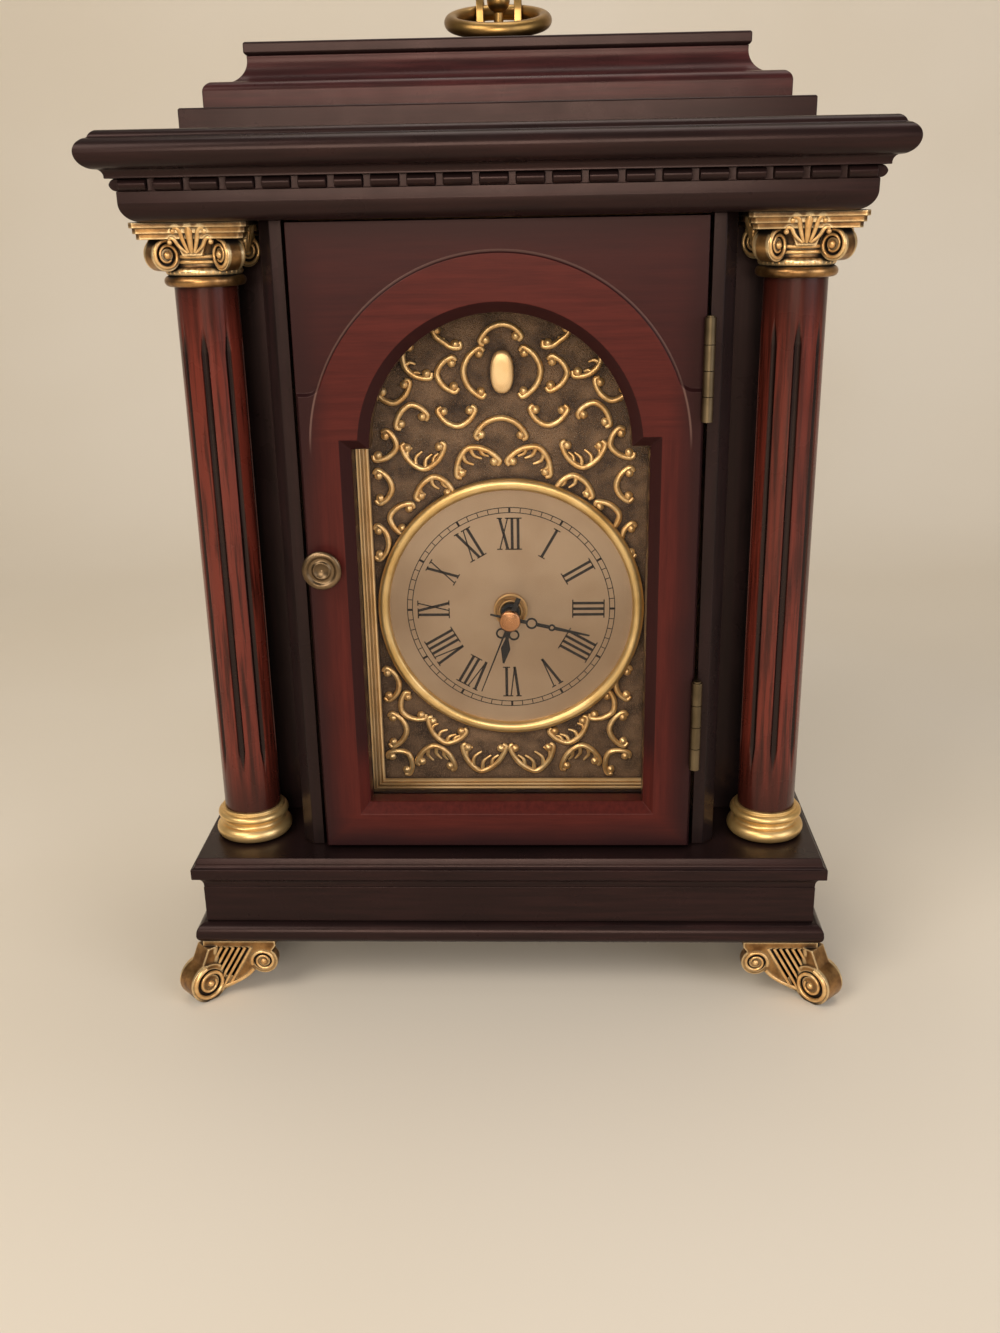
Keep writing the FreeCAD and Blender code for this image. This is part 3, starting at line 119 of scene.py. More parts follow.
class Writer:
    """Writes the nodes of one material."""

    def __init__(self, name: str) -> None:
        """Starts a material with an empty tree.

        Args:
            name: The material's name.
        """
        self.material = bpy.data.materials.new(name)
        self.material.use_nodes = True
        self.tree = self.material.node_tree
        self.tree.nodes.clear()
        self.surface = self.add("ShaderNodeBsdfPrincipled")
        output = self.add("ShaderNodeOutputMaterial")
        self.tree.links.new(self.surface.outputs[0], output.inputs["Surface"])

    def add(self, kind: str, inputs: dict[Any, Any] | None = None, **settings: Any) -> bpy.types.Node:
        """Adds a node.

        Args:
            kind: Blender's name of the node.
            inputs: A value or another node's output for each input.
            settings: Attributes of the node.

        Returns:
            The node.
        """
        node = self.tree.nodes.new(kind)
        for key, value in settings.items():
            setattr(node, key, value)
        for key, value in (inputs or {}).items():
            self.put(node.inputs[key], value)
        return node

    def put(self, socket: Socket, value: Any) -> None:
        """Sets or links one input.

        Args:
            socket: The input.
            value: What it is set to, or the output that it takes.
        """
        if isinstance(value, bpy.types.NodeSocket):
            self.tree.links.new(value, socket)
        else:
            socket.default_value = value

    def set(self, **values: Any) -> None:
        """Sets inputs of the shader, with underscores for spaces."""
        for key, value in values.items():
            self.put(self.surface.inputs[key.replace("_", " ")], value)

    def math(self, kind: str, *values: Any) -> Socket:
        """Adds a sum of one, two or three values and gives its result."""
        return self.add("ShaderNodeMath", dict(enumerate(values)), operation=kind).outputs[0]

    def times(self, one: Any, two: Any) -> Socket:
        """The product of two values."""
        return self.math("MULTIPLY", one, two)

    def less(self, one: Any, two: Any) -> Socket:
        """What is left of the first value without the second."""
        return self.math("SUBTRACT", one, two)

    def line(self, value: Any, gain: float, base: float) -> Socket:
        """A value times a gain, on top of a base."""
        return self.math("ADD", base, self.times(value, gain))

    def reach(self, one: Any, two: Any) -> Socket:
        """The distance from nought of a place with two parts."""
        squares = [self.math("POWER", part, 2.0) for part in (one, two)]
        return self.math("SQRT", self.math("ADD", *squares))

    def blend(self, share: Any, first: Any, second: Any) -> Socket:
        """Mixes two colours.

        Args:
            share: How much of the second shows.
            first: The first colour, written or as an output.
            second: The second colour.

        Returns:
            The mixed colour.
        """
        colours = [linear(c) if isinstance(c, str) else c for c in (first, second)]
        inputs = {0: share, 6: colours[0], 7: colours[1]}
        return self.add("ShaderNodeMix", inputs, data_type="RGBA", blend_type="MIX").outputs[2]

    def ramp(self, value: Any, low: float, high: float) -> Socket:
        """Maps a range of a value onto nought to one, with soft ends."""
        inputs = {"Value": value, "From Min": low, "From Max": high}
        return self.add("ShaderNodeMapRange", inputs, interpolation_type="SMOOTHSTEP").outputs[0]

    def rise(self, value: Any, low: float, high: float) -> Socket:
        """The same for a length, with its ends in millimetres."""
        return self.ramp(value, low * MM, high * MM)

    def facing(self) -> Socket:
        """How far the surface looks forwards or back, from nought to one."""
        ways = self.parts(self.add("ShaderNodeTexCoord").outputs["Normal"])
        return self.math("ABSOLUTE", ways[1])

    def parts(self, place: Any) -> list[Socket]:
        """The three parts of a place."""
        return list(self.add("ShaderNodeSeparateXYZ", {0: place}).outputs)

    def scaled(self, place: Any, scale: Sequence[float]) -> Socket:
        """A place stretched along each axis."""
        return self.add("ShaderNodeMapping", {"Vector": place, "Scale": scale}).outputs[0]

    def noise(self, place: Any, kind: Noise) -> Socket:
        """The value of a random pattern at a place."""
        inputs = {"Vector": place, "Scale": kind.pitch, "Detail": kind.detail, "Roughness": kind.rough}
        return self.add("ShaderNodeTexNoise", inputs).outputs["Fac"]

    def cloud(self, place: Any, kind: Noise) -> Socket:
        """The same, with its middle range spread from nought to one."""
        return self.ramp(self.noise(place, kind), kind.low, kind.high)

    def crevice(self, reach: float, inside: bool = False) -> Socket:
        """How open the surface is, from nought in a corner to one on a plain face."""
        node = self.add("ShaderNodeAmbientOcclusion", {"Distance": reach * MM}, samples=8, inside=inside)
        return node.outputs["AO"]

    def bump(self, height: Any, depth: float, strength: float) -> None:
        """Raises the surface by a height, so many millimetres deep."""
        inputs = {"Height": height, "Distance": depth * MM, "Strength": strength}
        self.set(Normal=self.add("ShaderNodeBump", inputs).outputs[0])


class Grain(Enum):
    """Which way the grain of a wooden piece runs."""

    LEVEL = (5.0, 5.0, 90.0)
    UPRIGHT = (80.0, 80.0, 4.0)


@dataclass(frozen=True)
class Finish:
    """A recipe for one material."""

    name: str

    def paint(self, w: Writer, place: Socket) -> None:
        """Writes what the finish is made of.

        Args:
            w: Writes the nodes.
            place: The place on the clock, in metres.
        """
        raise NotImplementedError

    def build(self) -> bpy.types.Material:
        """Makes the material.

        Returns:
            The material.
        """
        w = Writer(self.name)
        self.paint(w, w.add("ShaderNodeTexCoord").outputs["Object"])
        return w.material


@dataclass(frozen=True)
class Varnish:
    """The clear coat over a stain, with painted shade in its corners.

    Attributes:
        gloss: How much it mirrors.
        coat: How much a second, sharper layer mirrors.
        haze: How rough that layer is.
        reach: How far the painted shade comes out of a corner.
        unshaded: How open a face without painted shade is.
        corner_shade: The colour of the painted shade.
        sheen: The colour of what it mirrors.
    """

    gloss: float = 0.25
    coat: float = 0.04
    haze: float = 0.14
    reach: float = 4.0
    unshaded: float = 0.9
    corner_shade: str = "#140c0b"
    sheen: str = "#efc4bd"

    def lay(self, w: Writer, stain: Socket, rough: Any) -> None:
        """Coats a stain.

        Args:
            w: Writes the nodes.
            stain: The colour underneath.
            rough: How dull the coat is.
        """
        # Painted shade: the stain is darkened in corners and creases by ambient occlusion.
        w.set(
            Base_Color=w.blend(w.ramp(w.crevice(self.reach), 0.2, self.unshaded), self.corner_shade, stain),
            Roughness=rough,
            Specular_IOR_Level=self.gloss,
            Specular_Tint=linear(self.sheen),
            Coat_Weight=self.coat,
            Coat_Roughness=self.haze,
        )


@dataclass(frozen=True)
class Lacquer(Finish):
    """Stained and lacquered wood, darker in its pores, with painted shade at its corners and in a column's
    flutes.

    Attributes:
        deep: The stain's colour where it is thick.
        warm: Its colour where it is thin.
        grain: Which way the grain runs.
        contrast: How much of the warm colour shows.
        shine: How dull the coat is.
        varnish: The coat.
        ends: The heights at which a column's stain is thick again.
        fluted: A column's X, Y and radius, inside which its flutes are painted near black as shade.
        flute_edge: Where a flute's painted shade begins and ends inside that radius.
        fade: How high a column's ends are.
        flute_shade: The near black painted into the flutes as shade.
        least: How warm the darkest patch is.
        streak: The pattern of the grain.
        pores: The finer pattern of the pores.
        patches: The pattern in which the stain is thick or thin.
        mottle: The pattern in which the coat is duller.
        relief: How deep its bumps are, and how much they show.
    """

    deep: str
    warm: str
    grain: Grain
    contrast: float = 0.6
    shine: float = 0.3
    varnish: Varnish = Varnish()
    ends: Flat | None = None
    fluted: tuple[float, float, float] | None = None
    flute_edge: Flat = (0.75, 0.1)
    fade: float = 50.0
    flute_shade: str = "#120908"
    least: float = 0.45
    streak: Noise = Noise(6.0, 5.0, 0.6, 0.3, 0.72)
    pores: Noise = Noise(42.0, 2.0)
    patches: Noise = Noise(14.0, 2.0)
    mottle: Noise = Noise(60.0, low=0.2, high=0.8)
    relief: Flat = (0.04, 0.3)

    def paint(self, w: Writer, place: Socket) -> None:
        """Writes the nodes.

        Args:
            w: Writes them.
            place: The place on the clock.
        """
        along = w.scaled(place, self.grain.value)
        streak = w.noise(along, self.streak)
        share = w.times(w.ramp(streak, self.streak.low, self.streak.high), self.contrast)
        share = w.times(share, w.math("ADD", self.least, w.cloud(place, self.patches)))
        x, y, z = w.parts(place)
        if self.ends is not None:
            low, high = self.ends
            up = w.rise(z, low, low + self.fade)
            share = w.times(share, w.times(up, w.rise(z, high, high - self.fade)))
        stain = w.blend(w.math("MINIMUM", share, 1.0), self.deep, self.warm)
        if self.fluted is not None:
            across, depth, radius = self.fluted
            reach = w.reach(w.less(w.math("ABSOLUTE", x), across * MM), w.less(y, depth * MM))
            sunk, level = self.flute_edge
            # Painted shade: inside the flutes the stain turns near black.
            stain = w.blend(w.rise(reach, radius - sunk, radius - level), self.flute_shade, stain)
        self.varnish.lay(w, stain, w.line(w.cloud(place, self.mottle), 0.1, self.shine - 0.05))
        w.bump(w.math("ADD", w.noise(along, self.pores), w.times(streak, 0.6)), *self.relief)


@dataclass(frozen=True)
class DoorLacquer(Finish):
    """The door's lacquer: red along the band and stiles, shaded to near black at its outer edges.

    Attributes:
        deep: The colour of the outer edges, and of the opening's reveal, where it is partly a dark stain and
            partly painted shade.
        red: The colours of the band and stiles, across the grain.
        dim: The colours of the corners over the arch.
        band_highlight: The colour of a painted highlight along the band's edge.
        half: Half the door's width.
        ends: The heights of its lower and upper edge.
        arch: The height of the arch's middle and the radius of the band.
        fade: How wide the shading is.
        wander: How much its width changes.
        sill: The height over which the opening's reveal is darkened.
        top_rail: The heights over which the grain turns level above.
        bottom_rail: The heights over which it turns level below.
        reveal_stain_and_shade: How dark the reveal is made, partly as a dark stain on its bevel and partly as
            painted shade.
        throat_start: How far from the outer edges it may begin.
        band_highlight_share: How strongly that painted highlight shows.
        shine: How dull the coat is.
        varnish: The coat.
        streak: The pattern of the grain.
        drift: The pattern in which the shading wanders.
        relief: How deep its bumps are, and how much they show.
    """

    deep: str = "#271415"
    red: tuple[str, str] = ("#391614", "#52201b")
    dim: tuple[str, str] = ("#2b1516", "#391a19")
    band_highlight: str = "#8a6c62"
    half: float = 78.2
    ends: Flat = (68.2, 325.2)
    arch: Flat = (240.5, 73.8)
    fade: float = 14.0
    wander: float = 12.0
    sill: float = 100.0
    top_rail: Flat = (238.0, 250.0)
    bottom_rail: Flat = (86.0, 82.0)
    reveal_stain_and_shade: float = 0.85
    throat_start: Flat = (8.0, 12.0)
    band_highlight_share: float = 0.4
    shine: float = 0.32
    varnish: Varnish = Varnish(0.18, 0.03, 0.12, 3.0, 0.85, "#120a09")
    streak: Noise = Noise(6.0, 5.0, 0.65)
    drift: Noise = Noise(18.0, 2.0)
    relief: Flat = (0.05, 0.3)

    def paint(self, w: Writer, place: Socket) -> None:
        """Writes the nodes.

        Args:
            w: Writes them.
            place: The place on the clock.
        """
        x, _, z = w.parts(place)
        level, upright = (w.noise(w.scaled(place, grain.value), self.streak) for grain in Grain)
        top = w.rise(z, *self.top_rail)
        rail = w.math("MAXIMUM", top, w.rise(z, *self.bottom_rail))
        streak = w.math("ADD", w.times(level, rail), w.times(upright, w.less(1.0, rail)))
        side = w.less(self.half * MM, w.math("ABSOLUTE", x))
        under = w.less(z, self.ends[0] * MM)
        over = w.less(self.ends[1] * MM, z)
        edge = w.math("MINIMUM", side, w.math("MINIMUM", under, over))
        edge = w.math("ADD", edge, w.times(w.less(w.noise(place, self.drift), 0.5), self.wander * MM))
        height, radius = self.arch
        from_arch = w.reach(x, w.math("MAXIMUM", w.less(z, height * MM), 0.0))
        spandrel = w.times(w.rise(from_arch, radius - 1.0, radius), top)
        grain_share = w.ramp(streak, 0.15, 0.85)
        face = w.blend(spandrel, w.blend(grain_share, *self.red), w.blend(grain_share, *self.dim))
        stain = w.blend(w.rise(edge, 0.0, self.fade), self.deep, face)
        # Above the sill the opening's reveal darkens towards the deep colour: partly a dark stain on its
        # bevel, partly painted shade.
        inner = w.times(w.rise(edge, *self.throat_start), w.rise(z, self.sill, self.sill + 20.0))
        reveal_stain_and_shade = w.times(w.ramp(w.facing(), 0.96, 0.85), inner)
        stain = w.blend(w.times(reveal_stain_and_shade, self.reveal_stain_and_shade), stain, self.deep)
        # Painted highlight: a lighter line along the band's outer edge.
        near_edge = w.math("ABSOLUTE", w.less(from_arch, (radius - 0.2) * MM))
        stain = w.blend(w.times(w.rise(near_edge, 0.6, 0.1), w.times(top, self.band_highlight_share)), stain, self.band_highlight)
        self.varnish.lay(w, stain, self.shine)
        w.bump(streak, *self.relief)


@dataclass(frozen=True)
class CastBrass(Finish):
    """Antiqued cast brass: bright at its edges, partly from wear and partly as painted highlight, and dark in
    its hollows.

    Attributes:
        bright: The lighter colour of the metal.
        tone: The darker colour of the metal.
        dark: The colour of the hollows.
        reach: How far the dark comes out of a hollow.
        opening: How open a face is where the dark begins and where it ends.
        shine: How dull the open metal is.
        solid: How metallic the open metal is.
        wear_and_highlight: How far an edge is made bright, partly as wear and partly as painted highlight, if
            it is.
        edge: The colour of that bright edge.
        dull: How dull a hollow is.
        cloud: The pattern of its two colours.
        stain: The pattern of the dark.
        grit: The pattern of its skin.
        relief: How deep its bumps are, and how much they show.
    """

    bright: str
    tone: str
    dark: str
    reach: float
    opening: Flat
    shine: float = 0.3
    solid: float = 0.9
    wear_and_highlight: float = 0.0
    edge: str = "#f3d4a0"
    dull: float = 0.62
    cloud: Noise = Noise(160.0, 4.0)
    stain: Noise = Noise(420.0, 3.0, 0.6, 0.25, 0.6)
    grit: Noise = Noise(700.0)
    relief: Flat = (0.1, 0.4)

    def paint(self, w: Writer, place: Socket) -> None:
        """Writes the nodes.

        Args:
            w: Writes them.
            place: The place on the clock.
        """
        metal = w.blend(w.cloud(place, self.cloud), self.tone, self.bright)
        # Painted highlight together with wear: convex edges are painted a pale brass.
        if self.wear_and_highlight:
            metal = w.blend(w.ramp(w.crevice(self.wear_and_highlight, True), 0.95, 0.6), metal, self.edge)
        hollow = w.ramp(w.crevice(self.reach), *self.opening)
        hollow = w.times(hollow, w.line(w.cloud(place, self.stain), 0.3, 0.7))
        w.set(
            Base_Color=w.blend(hollow, self.dark, metal),
            Metallic=w.times(w.line(hollow, 0.5, 0.5), self.solid),
            Roughness=w.line(hollow, self.shine - self.dull, self.dull),
        )
        w.bump(w.noise(place, self.grit), *self.relief)


@dataclass(frozen=True)
class StippledGround(Finish):
    """The sunk ground of the embossed plate: fine punched dots under a brown stain."""

    raised: str = "#a07f60"
    sunk: str = "#2c1b10"
    pitch: float = 1700.0
    metallic: float = 0.3
    patches: Noise = Noise(90.0, 4.0, 0.6, 0.25, 0.75)
    relief: Flat = (0.3, 0.8)

    def paint(self, w: Writer, place: Socket) -> None:
        """Writes the nodes.

        Args:
            w: Writes them.
            place: The place on the clock.
        """
        dots = w.add("ShaderNodeTexVoronoi", {"Vector": place, "Scale": self.pitch}).outputs["Distance"]
        knap = w.ramp(dots, 0.5, 0.1)
        # Painted highlight: the punched dots take the lighter colour; the patches are the metal's uneven
        # tone, and the darkening near the scrolls is patina.
        light = w.math("ADD", w.times(knap, 0.6), w.times(w.cloud(place, self.patches), 0.6))
        share = w.times(w.ramp(w.crevice(4.0), 0.5, 1.0), light)
        w.set(
            Base_Color=w.blend(share, self.sunk, self.raised),
            Metallic=self.metallic,
            Roughness=w.line(knap, -0.16, 0.62),
        )
        w.bump(knap, *self.relief)


@dataclass(frozen=True)
class BrushedMetal(Finish):
    """A plain metal, brushed, rolled or turned, with painted shade in its corners.

    Attributes:
        bright: Its lighter colour.
        tone: Its darker colour.
        shine: How dull it is.
        metallic: How metallic it is.
        stretch: How its lines are stretched along each axis.
        sunk: Its colour in a corner, a painted shade.
        brushing: The pattern of its lines.
        cloud: The pattern of its two colours.
        relief: How deep its bumps are, and how much they show.
    """

    bright: str
    tone: str
    shine: float = 0.25
    metallic: float = 1.0
    stretch: tuple[float, float, float] = (1.0, 1.0, 1.0)
    sunk: str = "#3a2a18"
    brushing: Noise = Noise(300.0)
    cloud: Noise = Noise(70.0)
    relief: Flat = (0.04, 0.3)

    def paint(self, w: Writer, place: Socket) -> None:
        """Writes the nodes.

        Args:
            w: Writes them.
            place: The place on the clock.
        """
        brushing = w.noise(w.scaled(place, self.stretch), self.brushing)
        metal = w.blend(w.cloud(place, self.cloud), self.tone, self.bright)
        # Painted shade: the metal darkens towards the sunk colour in corners.
        w.set(
            Base_Color=w.blend(w.ramp(w.crevice(1.5), 0.1, 0.7), self.sunk, metal),
            Metallic=self.metallic,
            Roughness=w.line(brushing, 0.14, self.shine - 0.06),
        )
        w.bump(brushing, *self.relief)


@dataclass(frozen=True)
class SpunDisc(Finish):
    """Metal turned in a lathe: fine rings round a centre, for the dial and the hub cap."""

    bright: str
    tone: str
    metallic: float = 0.6
    shine: float = 0.4
    centre: Flat = (2.2, 164.0)
    pitch: float = 9000.0
    cloud: Noise = Noise(30.0)
    relief: Flat = (0.01, 0.15)

    def paint(self, w: Writer, place: Socket) -> None:
        """Writes the nodes.

        Args:
            w: Writes them.
            place: The place on the clock.
        """
        x, _, z = w.parts(place)
        radius = w.reach(w.less(x, self.centre[0] * MM), w.less(z, self.centre[1] * MM))
        rings = w.line(w.math("SINE", w.times(radius, self.pitch)), 0.5, 0.5)
        w.set(
            Base_Color=w.blend(w.cloud(place, self.cloud), self.tone, self.bright),
            Metallic=self.metallic,
            Roughness=w.line(rings, 0.06, self.shine),
            Anisotropic=0.3,
        )
        w.bump(rings, *self.relief)


@dataclass(frozen=True)
class Plain(Finish):
    """Paint, plastic, ink or board with a fine uneven surface."""

    light: str
    dark: str
    shine: float
    metallic: float = 0.0
    speck: Noise = Noise(500.0)
    relief: Flat = (0.03, 0.4)

    def paint(self, w: Writer, place: Socket) -> None:
        """Writes the nodes.

        Args:
            w: Writes them.
            place: The place on the clock.
        """
        speck = w.noise(place, self.speck)
        w.set(
            Base_Color=w.blend(w.ramp(speck, self.speck.low, self.speck.high), self.dark, self.light),
            Metallic=self.metallic,
            Roughness=w.line(speck, 0.1, self.shine - 0.05),
        )
        w.bump(speck, *self.relief)


@dataclass(frozen=True)
class ClearGlass(Finish):
    """Thin clear window glass."""

    tint: str = "#0c0f0f"
    alpha: float = 0.04
    dust: Noise = Noise(40.0, 4.0, low=0.4, high=0.8)

    def paint(self, w: Writer, place: Socket) -> None:
        """Writes the nodes.

        Args:
            w: Writes them.
            place: The place on the clock.
        """
        rough = w.line(w.cloud(place, self.dust), 0.03, 0.03)
        w.set(Base_Color=linear(self.tint), Roughness=rough, Alpha=self.alpha)


class Paint(Enum):
    """Every finish of the clock."""

    LEVEL_WOOD = Lacquer("dark_lacquer_level", "#191111", "#2f1c1b", Grain.LEVEL, 0.4)
    UPRIGHT_WOOD = Lacquer("dark_lacquer_upright", "#141010", "#251819", Grain.UPRIGHT)
    WARM_WOOD = Lacquer("warm_lacquer_level", "#2a1617", "#4e2626", Grain.LEVEL, 0.5)
    COLUMN_WOOD = Lacquer(
        "column_lacquer",
        "#31140f",
        "#65291f",
        Grain.UPRIGHT,
        contrast=1.5,
        shine=0.28,
        varnish=Varnish(gloss=0.3, coat=0.25),
        ends=(74.0, 312.0),
        fluted=(113.4, -31.8, 12.15),
    )
    DOOR_WOOD = DoorLacquer("door_lacquer")
    INNER_WOOD = Plain("fibreboard", "#8d6b48", "#74573a", 0.8, speck=Noise(900.0))
    CAST_BRASS = CastBrass("cast_brass", "#b08450", "#6d4a28", "#160e07", 4.0, (0.45, 0.98), wear_and_highlight=1.1)
    SCROLL_BRASS = CastBrass("scroll_brass", "#f6cf93", "#dcab6c", "#2e1f12", 2.0, (0.25, 0.8), 0.32, 0.7)
    GROUND_BRASS = StippledGround("stippled_ground")
    ROLLED_BRASS = BrushedMetal("rolled_brass", "#ecc98c", "#d4ad6c", 0.36, 0.8)
    FRAME_BRASS = BrushedMetal("frame_brass", "#f5d09a", "#e2b87e", 0.4, 0.6, sunk="#a98355")
    NUT_BRASS = BrushedMetal("nut_brass", "#a88458", "#86653f", 0.42, 0.7)
    TURNED_BRASS = BrushedMetal("turned_brass", "#b08c56", "#8c6c3c", 0.34)
    KNOB_BRASS = BrushedMetal("knob_brass", "#8a7358", "#5c4b37", 0.34)
    HINGE_BRASS = BrushedMetal("hinge_brass", "#75664f", "#544835", 0.38, stretch=(1.0, 1.0, 0.2))
    DIAL = SpunDisc("dial_sheet", "#ad957c", "#9d846b")
    CAP = SpunDisc("hub_cap_brass", "#c8926a", "#94643f", 1.0, 0.24)
    INK = Plain("dial_ink", "#21140c", "#170d07", 0.5)
    HAND = Plain("hand_enamel", "#17100e", "#0d0908", 0.3, speck=Noise(900.0))
    PLASTIC = Plain("moulded_plastic", "#1c1c1e", "#141416", 0.45)
    SLEEVE = Plain("battery_sleeve", "#5d6168", "#4f535a", 0.35, 0.4)
    STEEL = BrushedMetal("zinc_steel", "#b5b6b8", "#8f9194", 0.35)
    GLASS = ClearGlass("window_glass")


@dataclass(frozen=True)
class Plane:
    """A flat place to draw on. Its normal looks away from the clock."""

    origin: Vector
    right: Vector
    up: Vector

    @property
    def normal(self) -> Vector:
        """The direction out of the plane."""
        return self.right.cross(self.up)

    def at(self, a: float, b: float, lift: float = 0.0) -> Vector:
        """A point of the plane, lifted off it."""
        return self.origin + self.right * a + self.up * b + self.normal * lift


def facing_front(x: float, y: float, z: float) -> Plane:
    """A plane that looks forwards."""
    return Plane(Vector((x, y, z)), RIGHT, UP)


def curve_through(points: Sequence[Sequence[float]], per: int) -> list[Vector]:
    """Runs a smooth line through points.

    Args:
        points: The points, in two or three dimensions.
        per: Steps between two points.

    Returns:
        The points of the line, with the given ones among them.
    """
    knots = [Vector(p).to_3d() for p in points]
    line: list[Vector] = []
    for i in range(len(knots) - 1):
        before = knots[max(i - 1, 0)]
        start = knots[i]
        end = knots[i + 1]
        after = knots[min(i + 2, len(knots) - 1)]
        for step in range(per):
            t = step / per
            cubic = before * 2 - start * 5 + end * 4 - after
            last = start * 3 - before - end * 3 + after
            line.append((start * 2 + (end - before) * t + cubic * t**2 + last * t**3) * 0.5)
    line.append(knots[-1])
    return line


def stand(name: str, data: bpy.types.ID) -> bpy.types.Object:
    """Stands data in the scene.

    Args:
        name: The new object's name.
        data: Its mesh, light or camera.

    Returns:
        The object.
    """
    made = bpy.data.objects.new(name, data)
    bpy.context.scene.collection.objects.link(made)
    return made


def settle(piece: bpy.types.Object) -> None:
    """Turns what an object's modifiers make into its own mesh.

    Args:
        piece: The object.
    """
    seen = piece.evaluated_get(bpy.context.evaluated_depsgraph_get())
    mesh = bpy.data.meshes.new_from_object(seen)
    piece.modifiers.clear()
    piece.data = mesh


def finished(bm: bmesh.types.BMesh, name: str, finish: bpy.types.Material, smooth: float) -> bpy.types.Object:
    """Writes faces in metres to a new object, shaded smooth up to an angle.

    Args:
        bm: The faces, which are freed.
        name: The object's name.
        finish: Its material.
        smooth: The angle in degrees.

    Returns:
        The object.
    """
    for face in bm.faces:
        face.smooth = True
    for edge in bm.edges:
        edge.smooth = edge.calc_face_angle(math.pi) < math.radians(smooth)
    mesh = bpy.data.meshes.new(name)
    bm.to_mesh(mesh)
    bm.free()
    mesh.materials.append(finish)
    return stand(name, mesh)


class Shell:
    """Faces in millimetres, gathered into one piece of the clock."""

    def __init__(self) -> None:
        """Starts with nothing."""
        self.bm = bmesh.new()

    def skin(self, rings: Sequence[Sequence[Vector]], looped: bool = False) -> None:
        """Joins rings of points by faces and closes both ends, or the last ring to the first.

        Args:
            rings: Rings with as many points each, or a single point for a pole.
            looped: Whether the last ring meets the first.
        """
        made = [[self.bm.verts.new(p) for p in ring] for ring in rings]
        pairs = list(zip(made, made[1:]))
        if looped:
            pairs.append((made[-1], made[0]))
        for one, two in pairs:
            count = max(len(one), len(two))
            for i in range(count):
                j = (i + 1) % count
                if len(one) == 1:
                    self.bm.faces.new((one[0], two[i], two[j]))
                elif len(two) == 1:
                    self.bm.faces.new((one[i], two[0], one[j]))
                else:
                    self.bm.faces.new((one[i], two[i], two[j], one[j]))
        if not looped:
            for ring in (made[0], made[-1]):
                if len(ring) > 2:
                    self.bm.faces.new(ring)

    def turn(self, centre: Vector, axis: Vector, profile: Sequence[Flat], steps: int, looped: bool) -> None:
        """Turns a profile round an axis.

        Args:
            centre: A point of the axis.
            axis: Its direction, of length one.
            profile: Radius and height of each point.
            steps: How many steps go round.
            looped: Whether the profile is closed, as a ring's is.
        """
        side = axis.orthogonal().normalized()
        other = axis.cross(side)
        angles = [2 * math.pi * i / steps for i in range(steps)]
        rings = []
        for radius, height in profile:
            middle = centre + axis * height
            ring = [middle + (side * math.cos(a) + other * math.sin(a)) * radius for a in angles]
            rings.append([middle] if radius < WELD else ring)
        self.skin(rings, looped)

    def rod(
        self,
        path: Sequence[Vector],
        radii: Sequence[float],
        normal: Vector,
        sides: int = 8,
        squash: float = 1.0,
    ) -> None:
        """Runs a round rod of changing thickness along a path in a plane.

        Args:
            path: The points of the path.
            radii: The rod's radius at each point.
            normal: The plane's normal.
            sides: How many sides the rod has.
            squash: How far it is stretched along the normal.
        """
        angles = [2 * math.pi * i / sides for i in range(sides)]
        section = [(math.cos(a), math.sin(a) * squash) for a in angles]
        last = len(path) - 1
        rings = []
        for i, (here, size) in enumerate(zip(path, radii)):
            ahead = path[min(i + 1, last)] - path[max(i - 1, 0)]
            side = ahead.normalized().cross(normal).normalized()
            rings.append([here + side * (a * size) + normal * (b * size) for a, b in section])
        self.skin(rings)

    def ball(self, centre: Vector, radius: float, rows: int) -> None:
        """Adds a ball of so many rows of faces."""
        place = Matrix.Translation(centre)
        bmesh.ops.create_uvsphere(self.bm, u_segments=2 * rows, v_segments=rows, radius=radius, matrix=place)

    def slab(self, plane: Plane, outline: Sequence[Flat], low: float, high: float) -> None:
        """Pulls an outline of a plane up from one level to another."""
        self.skin([[plane.at(a, b, level) for a, b in outline] for level in (low, high)])

    def piece(self, name: str, finish: bpy.types.Material, smooth: float) -> bpy.types.Object:
        """Makes the gathered faces an object.

        Args:
            name: The piece's name.
            finish: Its material.
            smooth: The largest angle in degrees that is shaded smooth.

        Returns:
            The object.
        """
        bmesh.ops.remove_doubles(self.bm, verts=self.bm.verts, dist=WELD)
        bmesh.ops.recalc_face_normals(self.bm, faces=self.bm.faces)
        bmesh.ops.scale(self.bm, vec=(MM, MM, MM), verts=self.bm.verts)
        return finished(self.bm, name, finish, smooth)


